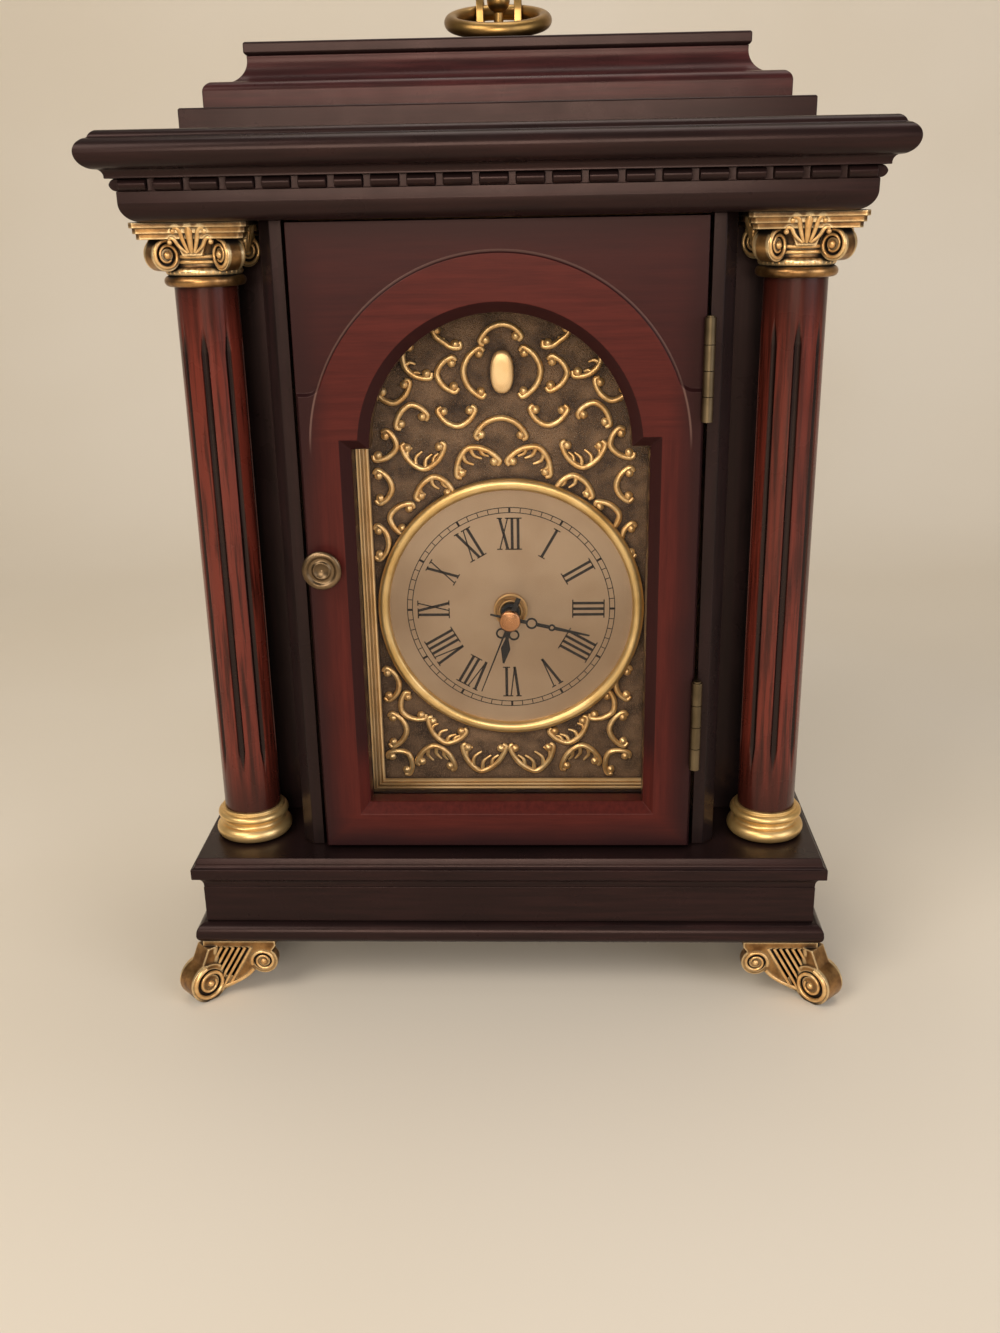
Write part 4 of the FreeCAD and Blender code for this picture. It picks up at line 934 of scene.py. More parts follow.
class Clock:
    """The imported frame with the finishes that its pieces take."""

    def __init__(self) -> None:
        """Loads the frame and makes the finishes."""
        self.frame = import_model()
        self.paints = {paint: paint.value.build() for paint in Paint}

    def put(self, piece: bpy.types.Object, body: str, slot: str, *nodes: str) -> None:
        """Seats a finished piece on its body.

        Args:
            piece: The piece, in place.
            body: The body that it rides on.
            slot: Not used.
            nodes: The solids that it stands for.
        """
        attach(piece, body)
        if nodes:
            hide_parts(*nodes)
        LOG.info("%s rides on %s: %d faces", piece.name, body, len(piece.data.polygons))

    def seat(
        self,
        shell: Shell,
        name: str,
        paint: Paint,
        slot: str,
        smooth: float = SMOOTH,
        body: str = "case",
    ) -> None:
        """Makes gathered faces a piece and seats it.

        Args:
            shell: The faces.
            name: The piece's name.
            paint: Its finish.
            slot: Not used; it is only passed on to put.
            smooth: The largest angle in degrees that is shaded smooth.
            body: The body that it rides on.
        """
        self.put(shell.piece(name, self.paints[paint], smooth), body, slot)

    def dress(self, paint: Paint, *nodes: str) -> None:
        """Gives solids that stay as they are a finish.

        Args:
            paint: The finish.
            nodes: The solids.
        """
        for name in nodes:
            mesh = self.frame["nodes"][name].data
            mesh.materials.clear()
            mesh.materials.append(self.paints[paint])
            for face in mesh.polygons:
                face.material_index = 0

    def soften(self, paint: Paint, slot: str, width: float, *nodes: str, body: str = "case") -> None:
        """Stands copies of solids with rounded edges in their place.

        Args:
            paint: The copies' finish.
            slot: Not used; it is only passed on to put.
            width: How far the edges are rounded, in millimetres.
            nodes: The solids.
            body: The body that they ride on.
        """
        flat_enough = math.radians(0.4)
        crease = math.radians(32.0)
        for node in nodes:
            bm = bmesh.new()
            bm.from_mesh(self.frame["nodes"][node].data)
            bmesh.ops.remove_doubles(bm, verts=bm.verts, dist=WELD * 2)
            bmesh.ops.dissolve_limit(bm, angle_limit=flat_enough, verts=bm.verts, edges=bm.edges)
            sharp = [e for e in bm.edges if e.calc_face_angle(0.0) > crease]
            bmesh.ops.bevel(
                bm,
                geom=sharp,
                offset=width * MM,
                segments=2,
                profile=0.5,
                affect="EDGES",
                clamp_overlap=False,
            )
            bmesh.ops.remove_doubles(bm, verts=bm.verts, dist=WELD)
            piece = finished(bm, node + "_dressed", self.paints[paint], SMOOTH)
            weights = piece.modifiers.new("weights", "WEIGHTED_NORMAL")
            weights.keep_sharp = True
            settle(piece)
            self.put(piece, body, slot, node)


class Touch:
    """Finds where a line meets a solid."""

    def __init__(self, node: bpy.types.Object) -> None:
        """Reads the solid's faces.

        Args:
            node: The solid.
        """
        bm = bmesh.new()
        bm.from_mesh(node.data)
        bmesh.ops.transform(bm, matrix=node.matrix_world, verts=bm.verts)
        self.tree = BVHTree.FromBMesh(bm)
        bm.free()

    def radius(self, axis: Vector, way: Vector, search: float, fallback: float) -> float:
        """How far the solid's face stands from an axis inside it.

        Args:
            axis: The point of the axis, in millimetres.
            way: The direction towards it.
            search: How far outside the search starts.
            fallback: The answer if there is no face.

        Returns:
            The distance in millimetres.
        """
        hit = self.tree.ray_cast((axis - way * search) * MM, way)
        return search - hit[3] / MM if hit[0] is not None else fallback


@dataclass(frozen=True)
class RingPattern:
    """Copies of a small form, set out round a circle by a node tree.

    Attributes:
        name: The piece's name.
        count: How many copies stand in the ring.
        sizes: The ring's radius, then each copy's size along that, along the ring and along the axis.
        beads: Whether the form is a ball instead of a block.
    """

    name: str
    count: int
    sizes: tuple[float, float, float, float]
    beads: bool = False

    def wire(self, nodes: dict[str, bpy.types.Node], tree: bpy.types.NodeTree) -> None:
        """Links the nodes of the tree.

        Args:
            nodes: The nodes by name.
            tree: The tree.
        """
        links = (
            ("enter", "Count", "circle", "Vertices"),
            ("enter", "Radius", "circle", "Radius"),
            ("enter", "Length", "size", "X"),
            ("enter", "Width", "size", "Y"),
            ("enter", "Height", "size", "Z"),
            ("place", 0, "split", 0),
            ("split", "Y", "angle", 0),
            ("split", "X", "angle", 1),
            ("angle", 0, "turn", "Z"),
            ("circle", "Mesh", "copies", "Points"),
            ("form", "Mesh", "copies", "Instance"),
            ("turn", 0, "copies", "Rotation"),
            ("size", 0, "copies", "Scale"),
            ("copies", "Instances", "real", "Geometry"),
            ("real", "Geometry", "paint", "Geometry"),
            ("paint", "Geometry", "leave", "Geometry"),
        )
        for source, output, target, entry in links:
            tree.links.new(nodes[source].outputs[output], nodes[target].inputs[entry])

    def build(self, matrix: Matrix, finish: bpy.types.Material) -> bpy.types.Object:
        """Makes the ring.

        Args:
            matrix: Where the ring stands; it lies flat round the matrix's Z axis.
            finish: Its material.

        Returns:
            The finished object.
        """
        tree = bpy.data.node_groups.new(self.name + "_tree", "GeometryNodeTree")
        tree.interface.new_socket("Geometry", in_out="OUTPUT", socket_type="NodeSocketGeometry")
        values = dict(zip(("Count", "Radius", "Length", "Width", "Height"), (self.count, *self.sizes)))
        known = {}
        for name in values:
            kind = "NodeSocketInt" if name == "Count" else "NodeSocketFloat"
            known[name] = tree.interface.new_socket(name, in_out="INPUT", socket_type=kind).identifier
        kinds = {
            "enter": "NodeGroupInput",
            "leave": "NodeGroupOutput",
            "circle": "GeometryNodeMeshCircle",
            "form": "GeometryNodeMeshUVSphere" if self.beads else "GeometryNodeMeshCube",
            "size": "ShaderNodeCombineXYZ",
            "place": "GeometryNodeInputPosition",
            "split": "ShaderNodeSeparateXYZ",
            "angle": "ShaderNodeMath",
            "turn": "ShaderNodeCombineXYZ",
            "copies": "GeometryNodeInstanceOnPoints",
            "real": "GeometryNodeRealizeInstances",
            "paint": "GeometryNodeSetMaterial",
        }
        nodes = {name: tree.nodes.new(kind) for name, kind in kinds.items()}
        nodes["angle"].operation = "ARCTAN2"
        nodes["paint"].inputs["Material"].default_value = finish
        if self.beads:
            for name, value in (("Segments", 14), ("Rings", 8), ("Radius", 0.5)):
                nodes["form"].inputs[name].default_value = value
        self.wire(nodes, tree)
        host = stand(self.name, bpy.data.meshes.new(self.name + "_host"))
        modifier = host.modifiers.new("ring", "NODES")
        modifier.node_group = tree
        for name, value in values.items():
            modifier[known[name]] = value
        settle(host)
        host.data.transform(Matrix.Scale(MM, 4) @ matrix)
        if not host.data.materials:
            host.data.materials.append(finish)
        for face in host.data.polygons:
            face.use_smooth = self.beads
        return host


@dataclass(frozen=True)
class Woodwork:
    """The boards, mouldings and walls, with their arrises eased."""

    arris: float = 0.35

    def build(self, clock: Clock) -> None:
        """Dresses every board of the case.

        Args:
            clock: The clock.
        """
        moulded = ("base_bottom_board", "base_top_board", "plinth_boards", "cap_board", "cornice_crown")
        moulded += ("cornice_fascia", "crown_step", "dentil_moulding")
        upright = ("case_side_left", "case_side_right", "recess_wall_left", "recess_wall_right")
        upright += ("front_stile_left", "front_stile_right", "back_panel")
        clock.soften(Paint.LEVEL_WOOD, "dark_wood", self.arris, *moulded)
        clock.soften(Paint.WARM_WOOD, "dark_wood", self.arris, "crown_cove")
        clock.soften(Paint.UPRIGHT_WOOD, "dark_wood", self.arris, *upright)
        clock.soften(Paint.UPRIGHT_WOOD, "dark_wood", self.arris, "back_door", body="back_door")
        clock.dress(Paint.INNER_WOOD, "dial_backboard", "column_dowels")
        clock.dress(Paint.LEVEL_WOOD, "case_top_board")


@dataclass(frozen=True)
class DoorWork:
    """The arched door with its glass, knob, strike plate and hinges."""

    arris: float = 0.3

    def build(self, clock: Clock) -> None:
        """Dresses the door and what hangs on it.

        Args:
            clock: The clock.
        """
        clock.soften(Paint.DOOR_WOOD, "door_wood", self.arris, "door_frame", body="door")
        clock.soften(Paint.UPRIGHT_WOOD, "dark_wood", self.arris, "glass_bead", body="door")
        clock.soften(Paint.KNOB_BRASS, "antique_brass", self.arris, "door_knob", body="door")
        clock.soften(Paint.ROLLED_BRASS, "bright_brass", self.arris, "back_door_pull", body="back_door")
        clock.dress(Paint.GLASS, "door_glass")
        clock.dress(Paint.STEEL, "door_knob_screw", "strike_plate")
        clock.dress(Paint.PLASTIC, "magnet_catch")
        for place in ("upper", "lower"):
            clock.dress(Paint.HINGE_BRASS, place + "_hinge_case_leaf", place + "_hinge_door_leaf")
        clock.dress(Paint.HINGE_BRASS, "door_hinge_pins", "back_hinge_case_leaves")
        clock.dress(Paint.HINGE_BRASS, "back_hinge_door_leaves", "back_hinge_pins")


class Letter(Enum):
    """The letters that a numeral is set from."""

    ONE = "I"
    FIVE = "V"
    TEN = "X"


@dataclass(frozen=True)
class DialWork:
    """The printed dial: twelve numerals and the minute track.

    Attributes:
        centre: The dial's middle, as X and Z.
        front: The Y of the sheet's face.
        lift: How far the ink stands off the sheet.
        sunk: How far it reaches into it.
        foot: The radius at a numeral's foot.
        height: A numeral's height.
        stem: How wide a thick stroke is.
        hairline: How wide a thin stroke is.
        serif: How high a serif is.
        serif_half: Half a serif's width under a plain stem.
        steps: How much room an I takes, and a wider letter.
        spread: Half the width of a V or an X.
        track: The radii of the track's two lines.
        track_line: How wide they are.
        track_steps: How many points go round them.
        tick: How wide a minute's mark is.
        wedge: How wide a mark of five minutes is.
        numerals: The twelve numerals, from the top.
    """

    centre: Flat = (2.2, 164.0)
    front: float = -13.3
    lift: float = 0.05
    sunk: float = 0.1
    foot: float = 26.6
    height: float = 14.0
    stem: float = 1.2
    hairline: float = 0.55
    serif: float = 0.5
    serif_half: float = 1.6
    steps: Flat = (2.55, 4.6)
    spread: float = 1.75
    track: Flat = (42.8, 45.0)
    track_line: float = 0.36
    track_steps: int = 160
    tick: float = 0.36
    wedge: float = 0.95
    numerals: str = "XII I II III IIII V VI VII VIII IX X XI"

    def spot(self, x: float, y: float, angle: float) -> Flat:
        """Turns a place in a numeral into one on the dial.

        Args:
            x: The place to the right of the numeral's middle.
            y: Its height over the numeral's foot.
            angle: Where the numeral stands, clockwise from the top.

        Returns:
            The place from the dial's middle.
        """
        reach = self.foot + y
        across = reach * math.sin(angle) + x * math.cos(angle)
        return (across, reach * math.cos(angle) - x * math.sin(angle))

    def strokes(self, letter: Letter, x: float) -> Iterable[list[Flat]]:
        """The outlines of one letter.

        Args:
            letter: The letter.
            x: Where its middle stands.

        Returns:
            Its strokes and serifs, one by one.
        """
        top = self.height
        half = self.stem / 2.0
        thin = self.hairline / 2.0
        out = self.spread
        high = top - self.serif
        if letter is Letter.ONE:
            strokes = [(x, x, half)]
            serifs = [(x, 0, 1.0), (x, high, 1.0)]
        elif letter is Letter.FIVE:
            strokes = [(x, x - out, half), (x, x + out, thin)]
            serifs = [(x - out, high, 1.3), (x + out, high, 1.6)]
        else:
            strokes = [(x + out, x - out, half), (x - out, x + out, thin)]
            serifs = [(x + side * out, z, 1.4) for side in (-1, 1) for z in (0, high)]
        for low_x, top_x, wide in strokes:
            yield [(low_x - wide, 0), (low_x + wide, 0), (top_x + wide, top), (top_x - wide, top)]
        for middle, low, narrow in serifs:
            reach = self.serif_half / narrow
            high = low + self.serif
            left = middle - reach
            right = middle + reach
            yield [(left, low), (right, low), (right, high), (left, high)]

    def numeral(self, shell: Shell, plane: Plane, text: str, angle: float) -> None:
        """Sets one numeral with its top outwards.

        Args:
            shell: Takes the faces.
            plane: The dial's face.
            text: The numeral.
            angle: Where it stands, clockwise from the top.
        """
        letters = [Letter(character) for character in text]
        steps = [self.steps[letter is not Letter.ONE] for letter in letters]
        x = -sum(steps) / 2.0
        for letter, step in zip(letters, steps):
            x += step / 2.0
            for outline in self.strokes(letter, x):
                spots = [self.spot(a, b, angle) for a, b in outline]
                shell.slab(plane, spots, -self.sunk, self.lift)
            x += step / 2.0

    def build(self, clock: Clock) -> None:
        """Dresses the dial and prints it.

        Args:
            clock: The clock.
        """
        clock.dress(Paint.DIAL, "dial_disc")
        clock.soften(Paint.ROLLED_BRASS, "bright_brass", 0.0, "dial_bezel")
        plane = facing_front(self.centre[0], self.front, self.centre[1])
        shell = Shell()
        for hour, text in enumerate(self.numerals.split()):
            self.numeral(shell, plane, text, math.radians(30.0 * hour))
        clock.seat(shell, "dial_numerals", Paint.INK, "dial", 40.0)
        shell = Shell()
        half = self.track_line / 2.0
        for radius in self.track:
            inner = radius - half
            outer = radius + half
            ring = [(inner, -self.sunk), (outer, -self.sunk), (outer, self.lift), (inner, self.lift)]
            shell.turn(plane.origin, -BACK, ring, self.track_steps, True)
        clock.seat(shell, "dial_track", Paint.INK, "dial", 40.0)
        upright = Matrix.Translation(plane.origin) @ Matrix.Rotation(math.radians(90.0), 4, "X")
        middle = sum(self.track) / 2.0
        length = self.track[1] - self.track[0]
        for name, count, wide in (("dial_ticks", 60, self.tick), ("dial_five_minute_marks", 12, self.wedge)):
            marks = RingPattern(name, count, (middle, length, wide, self.lift * 2))
            clock.put(marks.build(upright, clock.paints[Paint.INK]), "case", "dial")


@dataclass(frozen=True)
class Scroll:
    """One raised stroke of the plate: a bent line that hooks round a ball at each end.

    Attributes:
        first: The first ball's middle, from the dial's middle.
        apex: The top of the bend.
        last: The second ball's middle.
        veins: How many short strokes stand inside the bend.
        single: Whether it stands on the plate's middle and has no twin.
    """

    first: Flat
    apex: Flat
    last: Flat
    veins: int = 0
    single: bool = False

    @property
    def foot(self) -> Flat:
        """The middle between the balls."""
        return ((self.first[0] + self.last[0]) / 2.0, (self.first[1] + self.last[1]) / 2.0)

    @property
    def axes(self) -> tuple[float, float, float, float]:
        """Works out the scroll's own axes.

        Returns:
            The direction from ball to ball, then the one across it, towards the apex.
        """
        x = self.last[0] - self.first[0]
        y = self.last[1] - self.first[1]
        length = math.hypot(x, y)
        x, y = x / length, y / length
        rise = (self.apex[0] - self.foot[0], self.apex[1] - self.foot[1])
        lean = rise[0] * x + rise[1] * y
        rise = (rise[0] - lean * x, rise[1] - lean * y)
        tall = math.hypot(*rise)
        return (x, y, rise[0] / tall, rise[1] / tall)

    def near(self, point: Sequence[float], a: float, u: float) -> Flat:
        """The place so far from a point, along the scroll and up it."""
        x, y, up_x, up_y = self.axes
        return (point[0] + x * a + up_x * u, point[1] + y * a + up_y * u)


@dataclass(frozen=True)
class OrnamentPlate:
    """The embossed plate: scrolls, balls and leaves raised from a stippled ground.

    Attributes:
        dial: The dial's middle, as X and Z.
        front: The Y of the plate's face.
        ball: The radius of a ball.
        line: The radius of a scroll at its middle.
        tip: Its radius at its ends.
        hook: How far it goes round a ball, in balls.
        hook_side: Where it passes the ball, in hooks.
        hook_end: Where it ends under the ball.
        swell: How far its sides bulge, in their own lengths.
        sunk: How far a ball's middle lies under the face.
        vein: The radius of a leaf stroke at its root.
        vein_taper: How much of that it loses.
        vein_spots: Where the first stroke stands along the line, and how far on the last one.
        vein_reach: How long the outer strokes are, and how much more the middle ones.
        vein_bend: A leaf stroke's points, to the side and downwards.
        boss: The height of the oval boss's middle, and how far it rises.
        boss_half: Its half width and half height.
        boss_square: How round its oval is, from nought for a block to one.
        boss_steps: How many points go round it.
        boss_profile: Its size and height from rim to top, as shares.
        scrolls: Every scroll on the left and on the middle.
    """

    dial: Flat = (2.2, 164.0)
    front: float = -12.5
    ball: float = 1.95
    line: float = 1.35
    tip: float = 0.7
    hook: float = 1.2
    hook_side: Flat = (1.0, -0.05)
    hook_end: Flat = (0.3, -0.9)
    swell: float = 0.14
    sunk: float = 0.39
    vein: float = 1.2
    vein_taper: float = 0.6
    vein_spots: Flat = (0.3, 0.32)
    vein_reach: Flat = (0.5, 0.2)
    vein_bend: tuple[Flat, ...] = ((0.0, 0.0), (0.04, 0.6), (0.5, 1.0))
    boss: Flat = (265.3, 2.6)
    boss_half: Flat = (4.8, 8.7)
    boss_square: float = 0.84
    boss_steps: int = 48
    boss_profile: tuple[Flat, ...] = (
        (1.0, -0.1),
        (1.0, 0.35),
        (0.98, 0.66),
        (0.93, 0.86),
        (0.82, 0.96),
        (0.5, 0.99),
        (0.2, 1.0),
        (0.03, 1.0),
    )
    scrolls: tuple[Scroll, ...] = (
        Scroll((-8.7, 114.1), (-2.6, 120.2), (3.6, 115.5), single=True),
        Scroll((-11.4, 108.7), (-18.0, 101.4), (-11.0, 93.5)),
        Scroll((-22.7, 105.1), (-28.8, 100.5), (-22.1, 95.7)),
        Scroll((-28.5, 118.2), (-25.8, 113.5), (-21.0, 112.6), 3),
        Scroll((-39.7, 111.7), (-41.5, 103.3), (-33.1, 101.0), 3),
        Scroll((-51.6, 93.8), (-46.4, 89.3), (-42.3, 96.6)),
        Scroll((-44.4, 80.5), (-40.5, 88.3), (-35.5, 83.5)),
        Scroll((-26.7, 85.5), (-20.8, 79.4), (-15.8, 85.8)),
        Scroll((-11.3, 75.8), (-2.9, 82.6), (5.2, 75.4), single=True),
        Scroll((-51.2, 75.7), (-46.8, 70.6), (-54.6, 67.6)),
        Scroll((-42.3, 70.6), (-35.5, 61.7), (-28.9, 70.9), 4),
        Scroll((-19.7, 59.8), (-16.6, 70.3), (-6.1, 64.5), 4),
        Scroll((-54.8, 59.0), (-49.4, 53.8), (-54.6, 49.4)),
        Scroll((-37.2, 50.2), (-31.4, 58.3), (-25.9, 51.4), 3),
        Scroll((-42.5, 44.9), (-50.7, 41.7), (-45.8, 36.4)),
        Scroll((-56.0, 35.3), (-51.8, 30.0), (-56.0, 24.9)),
        Scroll((-55.2, -29.4), (-50.2, -34.8), (-55.0, -40.2)),
        Scroll((-46.6, -40.9), (-49.2, -48.3), (-41.0, -49.6)),
        Scroll((-53.7, -51.0), (-47.8, -57.0), (-54.0, -62.6)),
        Scroll((-35.8, -52.6), (-30.6, -63.0), (-23.2, -57.6), 4),
        Scroll((-54.9, -69.9), (-47.7, -68.4), (-48.5, -76.4)),
        Scroll((-41.4, -72.4), (-35.0, -64.6), (-28.6, -74.6), 4),
        Scroll((-20.4, -65.6), (-14.6, -77.0), (-5.4, -66.0), 4),
    )

    def swollen(self, scroll: Scroll, side: Flat, apex: Flat) -> Flat:
        """Where the line of a scroll bulges outwards between a ball and the apex.

        Args:
            scroll: The scroll.
            side: The place beside the ball.
            apex: The apex.

        Returns:
            The place beside the middle between them.
        """
        x, y, up_x, up_y = scroll.axes
        ahead = (side[0] - scroll.foot[0]) * x + (side[1] - scroll.foot[1]) * y
        way = math.copysign(self.swell, (up_y * x - up_x * y) * -ahead)
        across = (side[0] + apex[0]) / 2.0 - (apex[1] - side[1]) * way
        return (across, (side[1] + apex[1]) / 2.0 + (apex[0] - side[0]) * way)

    def path(self, scroll: Scroll) -> list[Flat]:
        """The line of a scroll, from the hook round one ball to the hook round the other.

        Args:
            scroll: The scroll.

        Returns:
            The points that the line runs through.
        """
        reach = self.ball * self.hook
        halves = []
        for ball, side in ((scroll.first, -reach), (scroll.last, reach)):
            half = [scroll.near(ball, side * a, reach * u) for a, u in (self.hook_end, self.hook_side)]
            halves.append([*half, self.swollen(scroll, half[-1], scroll.apex)])
        first, last = halves
        return [*first, scroll.apex, *reversed(last)]

    def spot(self, plane: Plane, way: int, point: Sequence[float], lift: float = 0.0) -> Vector:
        """A place given from the dial's middle, or its twin where way is -1."""
        return plane.at(way * (self.dial[0] + point[0]), self.dial[1] + point[1], lift)

    def draw(self, shell: Shell, plane: Plane, scroll: Scroll, way: int) -> None:
        """Raises one scroll, or its twin on the other side.

        Args:
            shell: Takes the faces.
            plane: The plate's face, with its origin under the clock.
            scroll: The scroll.
            way: -1 for the twin, otherwise 1.
        """
        line = curve_through(self.path(scroll), 9)
        count = len(line) - 1
        swells = [math.sqrt(math.sin(math.pi * min(i, count - i) / count)) for i in range(count + 1)]
        radii = [self.tip + (self.line - self.tip) * swell for swell in swells]
        shell.rod([self.spot(plane, way, p) for p in line], radii, plane.normal, 10, 1.1)
        for end in (scroll.first, scroll.last):
            shell.ball(self.spot(plane, way, end, -self.sunk), self.ball, 9)
        tall = math.hypot(scroll.apex[0] - scroll.foot[0], scroll.apex[1] - scroll.foot[1])
        for vein in range(scroll.veins):
            share = vein / (scroll.veins - 1)
            top = line[round(count * (self.vein_spots[0] + self.vein_spots[1] * share))]
            reach = tall * (self.vein_reach[0] + self.vein_reach[1] * math.sin(math.pi * share))
            bend = [scroll.near(top, side * reach, -drop * reach) for side, drop in self.vein_bend]
            leaf = [self.spot(plane, way, p) for p in curve_through(bend, 5)]
            steps = len(leaf) - 1
            radii = [self.vein * (1.0 - self.vein_taper * i / steps) for i in range(steps + 1)]
            shell.rod(leaf, radii, plane.normal)

    def build(self, clock: Clock) -> None:
        """Raises the ornament from the plate.

        Args:
            clock: The clock.
        """
        clock.dress(Paint.GROUND_BRASS, "ornament_plate")
        plane = facing_front(0.0, self.front, 0.0)
        shell = Shell()
        for scroll in self.scrolls:
            for way in (1,) if scroll.single else (1, -1):
                self.draw(shell, plane, scroll, way)
        clock.seat(shell, "plate_scrolls", Paint.SCROLL_BRASS, "antique_brass")
        shell = Shell()
        z, rise = self.boss
        turns = [math.tau * step / self.boss_steps for step in range(self.boss_steps)]
        oval = []
        for part, half in ((math.cos, self.boss_half[0]), (math.sin, self.boss_half[1])):
            oval.append([half * math.copysign(abs(part(t)) ** self.boss_square, part(t)) for t in turns])
        rings = []
        for size, high in self.boss_profile:
            rings.append([Vector((a * size, self.front - high * rise, z + b * size)) for a, b in zip(*oval)])
        shell.skin(rings)
        clock.seat(shell, "plate_boss", Paint.FRAME_BRASS, "antique_brass")


@dataclass(frozen=True)
class DialFrame:
    """The grooved brass moulding on three sides of the dial.

    Attributes:
        centre_x: The X of its middle.
        inner_half: Half the width of its opening.
        low: The height of the opening's lower edge.
        top: The height at which its sides end.
        back: The Y of its back.
        profile: Its section, outwards and forwards.
    """

    centre_x: float = 2.2
    inner_half: float = 58.4
    low: float = 83.2
    top: float = 243.4
    back: float = -12.5
    profile: tuple[Flat, ...] = (
        (0.0, 0.02),
        (0.0, 1.0),
        (0.3, 1.5),
        (0.9, 1.7),
        (1.3, 1.4),
        (1.4, 0.9),
        (1.8, 0.9),
        (1.9, 1.6),
        (2.3, 2.0),
        (2.8, 1.8),
        (2.9, 1.2),
        (3.3, 1.2),
        (3.4, 2.0),
        (3.8, 2.3),
        (4.3, 2.2),
        (4.5, 1.7),
        (5.4, 1.9),
        (6.6, 2.5),
        (7.7, 3.5),
        (8.3, 4.7),
        (8.4, 5.4),
        (8.95, 5.45),
        (8.95, 0.02),
    )

    def build(self, clock: Clock) -> None:
        """Makes the moulding with mitred corners.

        Args:
            clock: The clock.
        """
        stations = ((-1, self.top, 0), (-1, self.low, -1), (1, self.low, -1), (1, self.top, 0))
        rings = []
        for side, z, down in stations:
            x = self.centre_x + side * self.inner_half
            ring = [Vector((x + side * out, self.back - high, z + down * out)) for out, high in self.profile]
            rings.append(ring)
        shell = Shell()
        shell.skin(rings)
        piece = shell.piece("dial_frame_moulding", clock.paints[Paint.FRAME_BRASS], 32.0)
        clock.put(piece, "case", "bright_brass", "dial_frame")


@dataclass(frozen=True)
class HandWork:
    """The black hands, the nut's turned rings and the spun cap over the hub.

    Attributes:
        centre: The hub's middle, as X and Z.
        cap_front: The Y of the cap's top.
        nut_seat: The Y that the nut stands on.
        nut_rings: The sections of the two rings, as radius and height.
        cap_profile: The cap's section from its foot to its top.
        steps: How many points go round the rings and the cap.
        arris: How far the hands' edges are rounded.
    """

    centre: Flat = (2.2, 164.0)
    cap_front: float = -31.85
    nut_seat: float = -13.3
    nut_rings: tuple[tuple[Flat, ...], ...] = (
        ((6.2, 1.2), (7.36, 1.2), (7.36, 1.8), (6.9, 2.2), (6.5, 1.9), (6.2, 1.5)),
        ((4.2, 2.8), (5.0, 2.8), (5.0, 3.2), (4.7, 3.5), (4.4, 3.3), (4.2, 3.0)),
    )
    cap_profile: tuple[Flat, ...] = (
        (0.0, -2.35),
        (4.42, -2.35),
        (4.42, -0.95),
        (4.2, -0.65),
        (3.9, -0.6),
        (2.0, -0.25),
        (0.0, 0.0),
    )
    steps: int = 64
    arris: float = 0.06

    def build(self, clock: Clock) -> None:
        """Dresses the hands and caps the hub.

        Args:
            clock: The clock.
        """
        for hand in ("hour_hand", "minute_hand", "second_hand"):
            clock.soften(Paint.HAND, "hand_black", self.arris, hand, body=hand)
        clock.dress(Paint.NUT_BRASS, "dial_nut")
        x, z = self.centre
        shell = Shell()
        for ring in self.nut_rings:
            shell.turn(Vector((x, self.nut_seat, z)), -BACK, ring, self.steps, True)
        clock.seat(shell, "dial_nut_rings", Paint.FRAME_BRASS, "bright_brass", 50.0)
        shell = Shell()
        shell.turn(Vector((x, self.cap_front, z)), -BACK, self.cap_profile, self.steps, False)
        clock.seat(shell, "hub_cap", Paint.CAP, "hand_cap", 50.0, "second_hand")


@dataclass(frozen=True)
class Volute:
    """The spiral on the face of a scroll, with a ball for its eye.

    Attributes:
        radius: The scroll's radius.
        ridge: The ridge's thickness at its start.
        eye: The ball's radius.
        turns: How often the ridge goes round.
        start: The angle of its start in degrees.
        taper: How much of its thickness the ridge loses.
        steps: How many steps it takes.
    """

    radius: float
    ridge: float
    eye: float
    turns: float
    start: float
    taper: float = 0.4
    steps: int = 56

    def draw(self, shell: Shell, plane: Plane, way: int) -> None:
        """Raises the spiral.

        Args:
            shell: Takes the faces.
            plane: A plane through the scroll's middle.
            way: 1 to go round to the left, -1 to the right.
        """
        outer = self.radius - self.ridge
        inner = self.eye + self.ridge
        route = []
        for step in range(self.steps + 1):
            share = step / self.steps
            radius = outer + (inner - outer) * share
            turn = math.radians(self.start + 360.0 * self.turns * way * share)
            route.append(plane.at(radius * math.cos(turn), radius * math.sin(turn)))
        radii = [self.ridge * (1.0 - self.taper * i / self.steps) for i in range(self.steps + 1)]
        shell.rod(route, radii, plane.normal, 8, 1.3)
        shell.ball(plane.origin, self.eye, 8)


